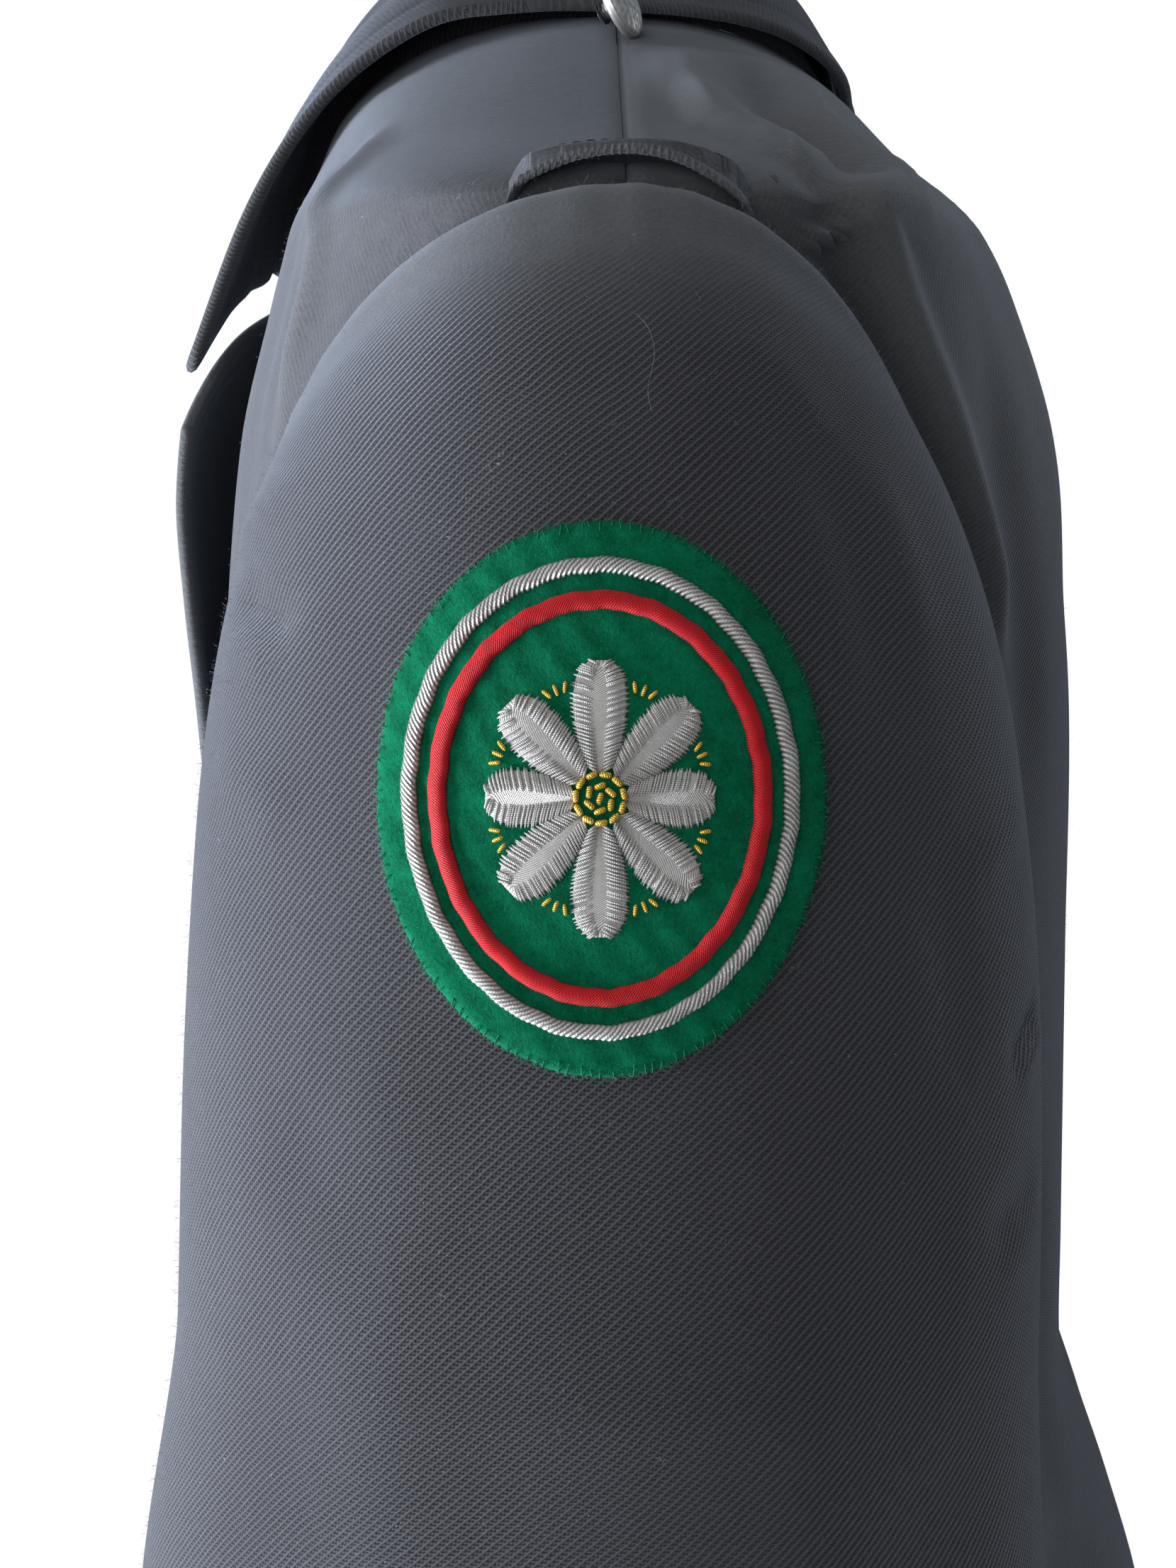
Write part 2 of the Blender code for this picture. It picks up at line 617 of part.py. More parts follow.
FELT_LOW, FELT_HIGH = 0.0009, 0.0021
plate("patch_felt", 40, 4, lambda a: 1 + 0 * a, FELT_LOW, FELT_HIGH, FELT)
ring_cord("patch_cord_outer", 0.865, 0.0024, FELT_HIGH + 0.0004, FELT_HIGH + 0.0020, SILVER)
ring_cord("patch_cord_inner", 0.745, 0.0030, FELT_HIGH + 0.0004, FELT_HIGH + 0.0019, RED)
PETALS, PETAL_LONG, PETAL_SHORT = 8, 0.50, 0.20
plate(
    "patch_rosette",
    48,
    3,
    lambda a: PETAL_SHORT + (PETAL_LONG - PETAL_SHORT) * np.abs(np.cos(PETALS / 2 * a)) ** 0.8,
    FELT_HIGH + 0.0004,
    FELT_HIGH + 0.0016,
    SILVER,
)
plate("patch_gold", 20, 1, lambda a: 0.125 + 0 * a, FELT_HIGH + 0.0020, FELT_HIGH + 0.0032, GOLD)
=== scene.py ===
# Military dress jacket, worn shape: fine cloth shells, seams, creases, buttons and the sleeve patch.
# Metres, +Z up, front towards -Y, the wearer's left at +X.
import math

import bpy
import numpy as np
from mathutils import Matrix, Vector


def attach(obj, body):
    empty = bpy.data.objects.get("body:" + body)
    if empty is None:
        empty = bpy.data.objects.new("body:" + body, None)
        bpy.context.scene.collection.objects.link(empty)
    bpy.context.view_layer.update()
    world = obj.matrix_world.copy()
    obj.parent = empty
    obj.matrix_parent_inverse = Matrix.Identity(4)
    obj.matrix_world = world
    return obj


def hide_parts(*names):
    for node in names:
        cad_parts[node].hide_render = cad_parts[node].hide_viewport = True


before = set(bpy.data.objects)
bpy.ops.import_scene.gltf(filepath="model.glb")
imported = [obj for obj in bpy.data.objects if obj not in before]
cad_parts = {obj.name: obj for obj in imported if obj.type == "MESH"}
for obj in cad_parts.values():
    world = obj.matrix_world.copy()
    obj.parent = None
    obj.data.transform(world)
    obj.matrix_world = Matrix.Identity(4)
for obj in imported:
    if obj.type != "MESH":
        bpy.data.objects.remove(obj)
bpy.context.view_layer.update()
rng = np.random.default_rng(7)

# ---------------------------------------------------------------- driving sizes
WALL = 0.0018  # cloth with its interlining
GAP = 0.0004  # open seam between two pieces
HEM_Z = -0.740
BREAK_Z = -0.272  # where the lapel starts to turn back
GORGE_Z = -0.0640
LAP = 0.020  # each front runs this far past the centre
LAP_LIFT = 0.0062  # left front carried outside the right one
LAP_START, LAP_FULL = 0.062, 0.024  # where that lift starts and where it is whole
NECK_Z, NECK_X = 0.006, 0.075
SHOULDER_Z, SHOULDER_X = -0.055, 0.225
ARM_HIGH = 0.090  # half height of the armhole
ARM_FRONT, ARM_BACK = 0.0775, 0.066  # half widths of the armhole
ARM_Z = SHOULDER_Z - ARM_HIGH
BICEPS_Z = -0.262  # first whole ring of the sleeve
CUFF_Z = -0.668
PATCH_Y, PATCH_Z = -0.0050, -0.1560
PATCH_HALF_W, PATCH_HALF_H = 0.0360, 0.0430
BUTTON_FRONT_R, BUTTON_SHOULDER_R = 0.0110, 0.0085

# z, half width, front depth, back depth, squareness of the front, squareness of the back
TORSO = (
    (-0.745, 0.222, 0.134, 0.182, 2.25, 2.10),
    (-0.620, 0.212, 0.130, 0.186, 2.25, 2.05),
    (-0.520, 0.197, 0.124, 0.181, 2.25, 2.00),
    (-0.470, 0.186, 0.120, 0.174, 2.30, 1.95),
    (-0.430, 0.180, 0.118, 0.162, 2.30, 1.95),
    (-0.395, 0.178, 0.118, 0.149, 2.35, 2.10),
    (-0.360, 0.179, 0.118, 0.138, 2.35, 2.30),
    (-0.320, 0.183, 0.118, 0.135, 2.40, 2.40),
    (-0.235, 0.192, 0.112, 0.131, 2.60, 2.45),
    (-0.170, 0.199, 0.106, 0.126, 2.95, 2.60),
    (-0.130, 0.206, 0.101, 0.120, 3.15, 2.65),
    (-0.100, 0.212, 0.096, 0.114, 3.20, 2.60),
    (-0.070, 0.219, 0.088, 0.103, 3.00, 2.45),
    (-0.055, 0.225, 0.084, 0.095, 2.80, 2.35),
    (-0.035, 0.176, 0.081, 0.083, 2.50, 2.20),
    (-0.020, 0.139, 0.078, 0.074, 2.40, 2.10),
    (-0.010, 0.114, 0.073, 0.066, 2.30, 2.10),
    (0.000, 0.0898, 0.063, 0.054, 2.30, 2.10),
    (0.006, 0.075, 0.050, 0.043, 2.30, 2.10),
)
# z, x of the roll line or front edge
FRONT_EDGE = (
    (-0.745, -LAP),
    (BREAK_Z - 0.002, -LAP),
    (-0.240, -0.008),
    (-0.200, 0.008),
    (-0.150, 0.026),
    (-0.100, 0.042),
    (-0.050, 0.056),
    (-0.010, 0.067),
    (0.006, 0.072),
)
# z, x of the back neckline
BACK_NECK = ((-0.745, 0.0), (-0.0065, 0.0), (-0.0045, 0.030), (-0.0015, 0.048), (0.002, 0.061), (0.006, 0.0715))
# z, centre x, centre y, half depth, half width
SLEEVE = (
    (-0.675, 0.296, -0.056, 0.058, 0.039),
    (-0.560, 0.296, -0.038, 0.062, 0.043),
    (-0.460, 0.290, -0.018, 0.068, 0.046),
    (-0.380, 0.279, -0.008, 0.079, 0.046),
    (-0.320, 0.269, -0.0065, 0.0835, 0.047),
    (-0.262, 0.257, -0.0033, 0.0797, 0.052),
    (-0.200, 0.249, -0.0020, 0.0780, 0.055),
)
# b along the roll line, outer edge x, outer edge z, stand-off of the outer edge
LAPEL = (
    (0.00, -0.012, -0.266, 0.0030),
    (0.12, 0.022, -0.246, 0.0034),
    (0.30, 0.060, -0.206, 0.0060),
    (0.50, 0.088, -0.171, 0.0080),
    (0.70, 0.107, -0.141, 0.0110),
    (0.87, 0.119, -0.114, 0.0140),
    (1.00, 0.122, -0.098, 0.0145),
)
# s from the centre back, seam x (back) or z (front), fold x y z, outer edge x y z
COLLAR = (
    (0.00, 0.0000, 0.000, 0.0400, 0.0300, 0.000, 0.0710, -0.0090),
    (0.20, 0.0380, 0.036, 0.0320, 0.0315, 0.052, 0.0600, -0.0030),
    (0.38, 0.0640, 0.061, 0.0080, 0.0330, 0.0820, 0.0310, 0.0045),
    (0.50, 0.0700, 0.068, -0.0150, 0.0300, 0.0885, -0.0080, 0.0065),
    (0.66, -0.0040, 0.071, -0.0480, 0.0190, 0.0960, -0.0440, 0.0020),
    (0.78, -0.0160, 0.070, -0.0690, -0.0010, 0.1000, -0.0700, -0.0150),
    (0.90, -0.0370, 0.066, -0.0850, -0.0300, 0.1050, -0.0890, -0.0420),
    (1.00, -0.0580, 0.0610, -0.0930, -0.0560, 0.1080, -0.1050, -0.0810),
)
NECK_POINT_Z = 0.0050


# ---------------------------------------------------------------- curves
def smooth(table, column, at):
    """A column of a table, read on a smooth curve through its rows."""
    keys = np.array([row[0] for row in table], float)
    vals = np.array([row[column] for row in table], float)
    step = np.diff(vals) / np.diff(keys)
    slope = np.empty(len(vals))
    slope[0], slope[-1] = step[0], step[-1]
    both = step[1:] * step[:-1]
    total = step[1:] + step[:-1]
    slope[1:-1] = np.where(both > 0, 2 * both / np.where(total == 0, 1, total), 0)
    at = np.clip(np.asarray(at, float), keys[0], keys[-1])
    i = np.clip(np.searchsorted(keys, at) - 1, 0, len(keys) - 2)
    h = keys[i + 1] - keys[i]
    t = (at - keys[i]) / h
    return (
        (2 * t**3 - 3 * t**2 + 1) * vals[i]
        + (t**3 - 2 * t**2 + t) * h * slope[i]
        + (3 * t**2 - 2 * t**3) * vals[i + 1]
        + (t**3 - t**2) * h * slope[i + 1]
    )


def ease(t):
    t = np.clip(t, 0, 1)
    return t * t * (3 - 2 * t)


def unit(v):
    return v / np.maximum(np.linalg.norm(v, axis=-1, keepdims=True), 1e-12)


# ---------------------------------------------------------------- the body form
def form_sizes(at_back, z):
    """Half width, depth and squareness of the form's front or back at z."""
    depth = np.where(at_back, smooth(TORSO, 3, z), smooth(TORSO, 2, z))
    square = np.where(at_back, smooth(TORSO, 5, z), smooth(TORSO, 4, z))
    return smooth(TORSO, 1, z), depth, square


def torso(theta, z):
    """theta 0 is the side, +90 degrees the back, -90 degrees the front."""
    c, s = np.cos(theta), np.sin(theta)
    w, depth, n = form_sizes(s > 0, z)
    x = w * np.sign(c) * np.abs(c) ** (2 / n)
    y = depth * np.sign(s) * np.abs(s) ** (2 / n)
    return np.stack([x, y, z + 0 * x], -1)


def torso_normal(theta, z):
    d, h = 0.012, 0.0015
    around = torso(theta + d, z) - torso(theta - d, z)
    zlow = np.minimum(z, NECK_Z - 2 * h)
    up = torso(theta, zlow + h) - torso(theta, zlow - h)
    return unit(np.cross(around, up))


def theta_at_y(y, z):
    _, depth, n = form_sizes(y > 0, z)
    return math.copysign(math.asin(min(1.0, abs(y) / depth) ** (n / 2)), y)


def theta_at_x(x, z, at_back=False):
    w, _, n = form_sizes(at_back, z)
    a = math.acos(min(1.0, (abs(x) / w)) ** (n / 2))
    return a if x >= 0 else math.pi - a


def armhole(psi, grow=0.0):
    """y and z of the armhole line; psi 0 is its top, +90 degrees its back."""
    s, c = np.sin(psi), np.cos(psi)
    wide = np.where(s > 0, ARM_BACK * (1 - 0.10 * c), ARM_FRONT * (1 - 0.02 * c)) + grow
    return wide * s, ARM_Z + (ARM_HIGH + grow) * c


RING = 24  # columns round a sleeve
HALF = RING // 2


def body_rows():
    low = [HEM_Z, -0.66, -0.58, -0.50, -0.43, -0.36, -0.295]
    arm = [float(armhole(math.pi * k / HALF, GAP)[1]) for k in range(HALF, -1, -1)]
    return low + arm + [-0.040, -0.025, -0.013, -0.003, 0.0045]


def side_edge(z, sign):
    """The theta where a panel ends at the side seam, the armhole or the shoulder seam."""
    top, bottom = ARM_Z + ARM_HIGH + GAP, ARM_Z - ARM_HIGH - GAP
    if z <= bottom + 1e-6 or z >= top - 1e-6:
        return theta_at_y(sign * GAP / 2, z)
    psi = math.acos((z - ARM_Z) / (ARM_HIGH + GAP))
    y = float(armhole(sign * psi, GAP)[0])
    return theta_at_y(y, z)


def front_panel(columns, lapped):
    """Outer and inner points of a front, on the wearer's left; the other is its mirror."""
    rows = body_rows()
    outer, inner = [], []
    for z in rows:
        a = side_edge(z, -1)
        edge = float(smooth(FRONT_EDGE, 1, z))
        b, c, d = (-theta_at_x(x, z) for x in (max(LAP_START, edge + 0.3 * (-edge + 0.09)), max(LAP_FULL, edge + 0.12 * (-edge + 0.09)), edge))
        th = np.append(a + (b - a) * np.linspace(0, 1, columns - 2), [c, d])
        zz = np.full(columns, z)
        p, n = torso(th, zz), torso_normal(th, zz)
        if lapped:
            p = p + n * (LAP_LIFT * ease((LAP_START - p[:, 0:1]) / (LAP_START - LAP_FULL)))
        outer.append(p)
        inner.append(p - n * WALL)
    return np.array(outer), np.array(inner)


def back_panel(columns):
    rows = body_rows()
    outer, inner = [], []
    for z in rows:
        a = side_edge(z, 1)
        b = theta_at_x(max(float(smooth(BACK_NECK, 1, z)), GAP / 2), z, True)
        th = a + (b - a) * np.linspace(0, 1, columns)
        zz = np.full(columns, z)
        p, n = torso(th, zz), torso_normal(th, zz)
        outer.append(p)
        inner.append(p - n * WALL)
    return np.array(outer), np.array(inner)


# ---------------------------------------------------------------- the sleeve
def sleeve_ring(psi, z):
    """A whole ring of the sleeve, square to the arm's line."""
    cx, cy = smooth(SLEEVE, 1, z), smooth(SLEEVE, 2, z)
    a, b = smooth(SLEEVE, 3, z), smooth(SLEEVE, 4, z)
    h = 0.004
    tx = (smooth(SLEEVE, 1, z - h) - smooth(SLEEVE, 1, z + h)) / (2 * h)
    ty = (smooth(SLEEVE, 2, z - h) - smooth(SLEEVE, 2, z + h)) / (2 * h)
    down = unit(np.stack([tx, ty, -1 + 0 * tx], -1))
    out = unit(np.stack([1 + 0 * tx, 0 * tx, tx], -1))
    side = np.cross(out, down)
    side = side * np.sign(side[..., 1:2])
    centre = np.stack([cx, cy, z + 0 * cx], -1)
    c, s = np.cos(psi)[..., None], np.sin(psi)[..., None]
    return centre + out * (b[..., None] * c) + side * (a[..., None] * s), down


def sleeve(psi, t):
    """psi 0 is outward, +90 degrees the back; t 0 the armhole, 1 the biceps, 3 the cuff."""
    psi, t = np.broadcast_arrays(np.asarray(psi, float), np.asarray(t, float))
    y, z = armhole(psi)
    w, depth, n = form_sizes(y > 0, z)
    x = w * (1 - np.minimum(1, np.abs(y) / depth) ** n) ** (1 / n)
    start = np.stack([x, y, z], -1)
    c, s = np.cos(psi), np.sin(psi)
    lead = unit(np.stack([1 + 0 * c, np.where(s > 0, 0.50, 0.34) * s, -0.16 - 0.06 * c], -1))
    start = start + lead * 0.0009
    end, down = sleeve_ring(psi, np.full(psi.shape, BICEPS_Z))
    m1 = (0.105 + 0.075 * c)[..., None]
    m2 = (0.115 + 0.085 * c)[..., None]
    u = np.clip(t, 0, 1)[..., None]
    cap = (
        (2 * u**3 - 3 * u**2 + 1) * start
        + (u**3 - 2 * u**2 + u) * m1 * lead
        + (3 * u**2 - 2 * u**3) * end
        + (u**3 - u**2) * m2 * down
    )
    zt = BICEPS_Z + (np.clip(t, 1, 3) - 1) / 2 * (CUFF_Z - BICEPS_Z)
    tube, _ = sleeve_ring(psi, zt)
    return np.where(t[..., None] < 1, cap, tube)


def sleeve_normal(psi, t):
    psi, t = np.broadcast_arrays(np.asarray(psi, float), np.asarray(t, float))
    d = 0.02
    around = sleeve(psi + d, t) - sleeve(psi - d, t)
    low, high = np.clip(t - d, 0, 3), np.clip(t + d, 0, 3)
    along = sleeve(psi, high) - sleeve(psi, low)
    return unit(np.cross(along, around))


def sleeve_rows():
    return [0.0, 0.12, 0.27, 0.43, 0.60, 0.80, 1.0, 1.2, 1.4, 1.6, 1.8, 2.0, 2.25, 2.5, 2.75, 3.0]


FRONT_SEAM, BACK_SEAM = -8, 6  # sleeve seams, in ring columns from the outward one


def sleeve_panel(first, last):
    cols = list(range(first, last + 1))
    t = np.array(sleeve_rows())[:, None]
    psi = np.array([2 * math.pi * k / RING for k in cols])
    half = GAP / 2 / 0.065
    psi[0] += half
    psi[-1] -= half
    psi = psi[None, :]
    outer = sleeve(psi, t)
    return outer, outer - sleeve_normal(psi, t) * WALL


def on_sleeve(y, z):
    """psi and t of the point of the sleeve's outer side at this y and z."""
    psi, t = np.zeros(np.shape(y)), np.full(np.shape(y), 0.5)
    for _ in range(14):
        p = sleeve(psi, t)
        e = 1e-4
        a = (sleeve(psi + e, t) - p) / e
        b = (sleeve(psi, t + e) - p) / e
        dy, dz = y - p[..., 1], z - p[..., 2]
        det = a[..., 1] * b[..., 2] - a[..., 2] * b[..., 1]
        psi = psi + np.clip((dy * b[..., 2] - dz * b[..., 1]) / det, -0.3, 0.3)
        t = t + np.clip((dz * a[..., 1] - dy * a[..., 2]) / det, -0.3, 0.3)
        t = np.clip(t, 0.01, 2.9)
    return psi, t


# ---------------------------------------------------------------- lapels and collar
def torso_y(x, z):
    """y of the front of the form at x and z."""
    w, f, n = form_sizes(False, z)
    return -f * (1 - np.minimum(0.999, np.abs(x) / w) ** n) ** (1 / n)


def lapel(a, b, lapped=True):
    """a runs from the roll line to the outer edge, b from the break to the gorge."""
    z0 = BREAK_Z + (GORGE_Z - BREAK_Z) * b
    x0 = smooth(FRONT_EDGE, 1, z0) - 0.0006
    x1, z1 = smooth(LAPEL, 1, b), smooth(LAPEL, 2, b)
    x, z = x0 + (x1 - x0) * a, z0 + (z1 - z0) * a
    z = z + 0.0062 * np.sin(np.pi * np.clip(a, 0, 1) ** 1.3) * np.maximum(b, 0) ** 6
    off = 0.0026 + (smooth(LAPEL, 3, b) - 0.0026) * np.maximum(a, 0) ** 1.15
    off = off + 0.0015 * np.sin(np.pi * a) * ease(b / 0.35)
    if lapped:
        off = off + LAP_LIFT * ease((LAP_START - x) / (LAP_START - LAP_FULL))
    return np.stack([x, torso_y(x, z) - off, z], -1)


def lapel_panel(columns, rows, lapped):
    a, b = np.meshgrid(np.linspace(0, 1, columns), np.linspace(0, 1, rows))
    p = lapel(a, b, lapped)
    e = 1e-3
    n = unit(np.cross(lapel(a + e, b, lapped) - lapel(a - e, b, lapped), lapel(a, b + e, lapped) - lapel(a, b - e, lapped)))
    n = n * -np.sign(n[..., 1:2])
    return p, p - n * WALL


def neckline(s):
    """The inner corner of the neckline at s: across the back to 0.5, then down the front."""
    if s <= 0.5:
        x = float(smooth([(r[0], r[1]) for r in COLLAR[:4]], 1, s))
        z = float(smooth([(r[1], r[0]) for r in BACK_NECK[1:]], 1, x)) if x > 0.0005 else BACK_NECK[1][0]
        z = min(z, NECK_POINT_Z)
        th = theta_at_x(x, z, True)
    else:
        z = float(smooth([(0.5, NECK_POINT_Z)] + [(r[0], r[1]) for r in COLLAR[4:]], 1, s))
        th = -theta_at_x(float(smooth(FRONT_EDGE, 1, z)), z)
    p = torso(np.array([th]), np.array([z]))[0]
    n = torso_normal(np.array([th]), np.array([z]))[0]
    toward = unit(np.array([-p[0], -0.010 - p[1], 0.0]) + 1e-9)
    over = ease((s - 0.46) / 0.16)
    return p + n * (0.0030 * over - WALL * 0.8 * (1 - over)) + toward * 0.0010 + np.array([0, 0, 0.0018 - 0.0006 * over])


def collar_row(s):
    get = [float(smooth(COLLAR, k, abs(s))) for k in range(2, 8)]
    flip = np.array([-1 if s < 0 else 1, 1, 1])
    return neckline(abs(s)) * flip, np.array(get[:3]) * flip, np.array(get[3:]) * flip


def collar_points(s, steps_up, steps_down):
    """The outside line of the collar at s: up the stand, over the fold, down the fall to its edge."""
    seam, fold, edge = collar_row(s)
    out = unit(np.array([edge[0] - seam[0], edge[1] - seam[1], 0.0]) + 1e-9)
    roll = 0.0036 * (1 - 0.45 * ease((abs(s) - 0.8) / 0.2))
    up = [seam + (fold - seam) * t for t in np.linspace(0, 0.86, steps_up)]
    crown = fold + out * roll * 0.55 + np.array([0, 0, 0.0012])
    start = fold + out * roll * 1.5 - np.array([0, 0, 0.0020])
    down = []
    for t in np.linspace(0, 1, steps_down):
        q = start + (edge - start) * t
        down.append(q + (out * 0.6 + np.array([0, 0, 0.8])) * 0.0045 * math.sin(math.pi * t) * (1 - 0.5 * t))
    return np.array(up + [crown] + down)


def collar_wall(count, steps_up=3, steps_down=5):
    lines = np.array([collar_points(s, steps_up, steps_down) for s in np.linspace(-1, 1, count)])
    along = np.gradient(lines, axis=0)
    down = np.gradient(lines, axis=1)
    n = unit(np.cross(along, down))
    return lines, n




# ---------------------------------------------------------------- fine grids of the cut pieces
def spread(count, ends=0.55):
    """Shares from 0 to 1, closer together at both ends."""
    t = np.linspace(0, 1, count)
    return (1 - ends) * t + ends * (0.5 - 0.5 * np.cos(np.pi * t))


def body_row_heights(count):
    """Heights of the rows of a body panel, closer together at the armhole, the shoulder and the hem."""
    parts = [
        HEM_Z + (-0.300 - HEM_Z) * spread(int(count * 0.40), 0.5)[:-1],
        -0.300 + (ARM_Z - ARM_HIGH - GAP + 0.300) * np.linspace(0, 1, int(count * 0.08))[:-1],
    ]
    psi = np.linspace(math.pi, 0, int(count * 0.36))
    parts.append(armhole(psi, GAP)[1])
    top = [-0.0535, -0.052, -0.050, -0.0475, -0.0445, -0.041, -0.0375, -0.034, -0.0305, -0.027, -0.0235, -0.020, -0.017, -0.014, -0.011, -0.008, -0.005, -0.002, 0.001, 0.003, 0.0045]
    parts.append(np.array(top))
    return np.concatenate(parts)


def fine_front(columns, row_count, lapped):
    outer, normal = [], []
    for z in body_row_heights(row_count):
        z = float(z)
        a = side_edge(z, -1)
        edge = float(smooth(FRONT_EDGE, 1, z))
        d = -theta_at_x(edge, z)
        th = a + (d - a) * spread(columns)
        zz = np.full(columns, z)
        p, n = torso(th, zz), torso_normal(th, zz)
        if lapped:
            p = p + n * (LAP_LIFT * ease((LAP_START - p[:, 0:1]) / (LAP_START - LAP_FULL)))
        outer.append(p)
        normal.append(n)
    return np.array(outer), np.array(normal)


def fine_back(columns, row_count):
    outer, normal = [], []
    for z in body_row_heights(row_count):
        z = float(z)
        a = side_edge(z, 1)
        b = theta_at_x(max(float(smooth(BACK_NECK, 1, z)), GAP / 2), z, True)
        th = a + (b - a) * spread(columns)
        zz = np.full(columns, z)
        outer.append(torso(th, zz))
        normal.append(torso_normal(th, zz))
    return np.array(outer), np.array(normal)


def fine_sleeve(first, last, columns, row_count):
    half = GAP / 2 / 0.065
    a, b = 2 * math.pi * first / RING + half, 2 * math.pi * last / RING - half
    psi = (a + (b - a) * spread(columns))[None, :]
    t = np.concatenate([0.42 * spread(int(row_count * 0.30), 0.4)[:-1], 0.42 + 2.58 * np.linspace(0, 1, int(row_count * 0.70)) ** 0.94])[:, None]
    return sleeve(psi, t), sleeve_normal(psi, t), psi + 0 * t, t + 0 * psi


def surface_normal(p):
    """Normals of a grid of points."""
    a = np.gradient(p, axis=1)
    b = np.gradient(p, axis=0)
    return unit(np.cross(a, b))


def finer(grid, rows, columns):
    """A grid on a smooth curve through the points of a coarse one."""

    def along(g, count):
        m = len(g)
        at = np.linspace(0, m - 1, count)
        i = np.clip(at.astype(int), 0, m - 2)
        t = (at - i)[:, None, None]
        before, after = g[np.maximum(i - 1, 0)], g[np.minimum(i + 2, m - 1)]
        lo, hi = g[i], g[i + 1]
        before = np.where((i == 0)[:, None, None], 2 * lo - hi, before)
        after = np.where((i == m - 2)[:, None, None], 2 * hi - lo, after)
        return 0.5 * ((2 * lo) + (hi - before) * t + (2 * before - 5 * lo + 4 * hi - after) * t**2 + (3 * lo - before - 3 * hi + after) * t**3)

    g = along(grid, rows)
    return along(g.transpose(1, 0, 2), columns).transpose(1, 0, 2)


# ---------------------------------------------------------------- creases: soft ridges and troughs laid along lines
def crease(p, n, line, width, depth, lean=0.0, blunt=0.35):
    """How far the cloth at p moves out, for one ridge (depth above 0) or trough (below 0) along a line of points."""
    line = np.asarray(line, float)
    low, high = line.min(0) - 4 * width, line.max(0) + 4 * width
    inside = np.all((p > low) & (p < high), axis=-1)
    out = np.zeros(p.shape[:-1])
    if not inside.any():
        return out
    q, m = p[inside], n[inside]
    lengths = np.linalg.norm(np.diff(line, axis=0), axis=1)
    total, run = lengths.sum(), 0.0
    best, share, signed = np.full(len(q), 1e9), np.zeros(len(q)), np.zeros(len(q))
    for a, b, size in zip(line, line[1:], lengths):
        d = (b - a) / size
        t = np.clip((q - a) @ d, 0, size)
        off = q - (a + t[:, None] * d)
        off = off - m * np.sum(off * m, -1, keepdims=True)
        dist = np.linalg.norm(off, axis=-1)
        side = np.sign(np.sum(np.cross(d, m) * off, -1))
        near = dist < best
        best = np.where(near, dist, best)
        share = np.where(near, (run + t) / total, share)
        signed = np.where(near, dist * side, signed)
        run += size
    x = signed / width
    form = np.exp(-x * x) - lean * np.exp(-((x - 1.5) ** 2)) * 0.9
    taper = ease(share / blunt) * ease((1 - share) / blunt)
    out[inside] = depth * form * taper
    return out


def relief(p, n, creases):
    total = np.zeros(p.shape[:-1])
    for line, width, depth, *more in creases:
        total = total + crease(p, n, line, width, depth, *more)
    return total


def swell(p, scale, seed, size):
    """Slow unevenness of hanging cloth, a sum of a few waves."""
    r = np.random.default_rng(seed)
    total = np.zeros(p.shape[:-1])
    for _ in range(7):
        d = r.normal(size=3)
        d = d / np.linalg.norm(d) * scale * r.uniform(0.5, 1.5)
        total += np.sin(p @ d + r.uniform(0, 6.28))
    return total / 7 * size


def on_body(x, z, back=True):
    """A point of the body form at x and z, on its back or its front."""
    th = theta_at_x(x, z, back)
    return torso(np.array([th if back else -th]), np.array([z]))[0]


def at_theta(degrees, z):
    return torso(np.array([math.radians(degrees)]), np.array([z]))[0]


def at_sleeve(degrees, t):
    return sleeve(np.array([math.radians(degrees)]), np.array([t]))[0]


def flip(line):
    return [np.array(q) * np.array([-1, 1, 1]) for q in line]


# Creases of the worn coat: line of points, half width, depth (ridge above 0), lean, bluntness of the ends.
def yz(pairs):
    """Points of the left sleeve's outer side at these y and z."""
    y, z = np.array(pairs, float).T
    psi, t = on_sleeve(y, z)
    return sleeve(psi, t)


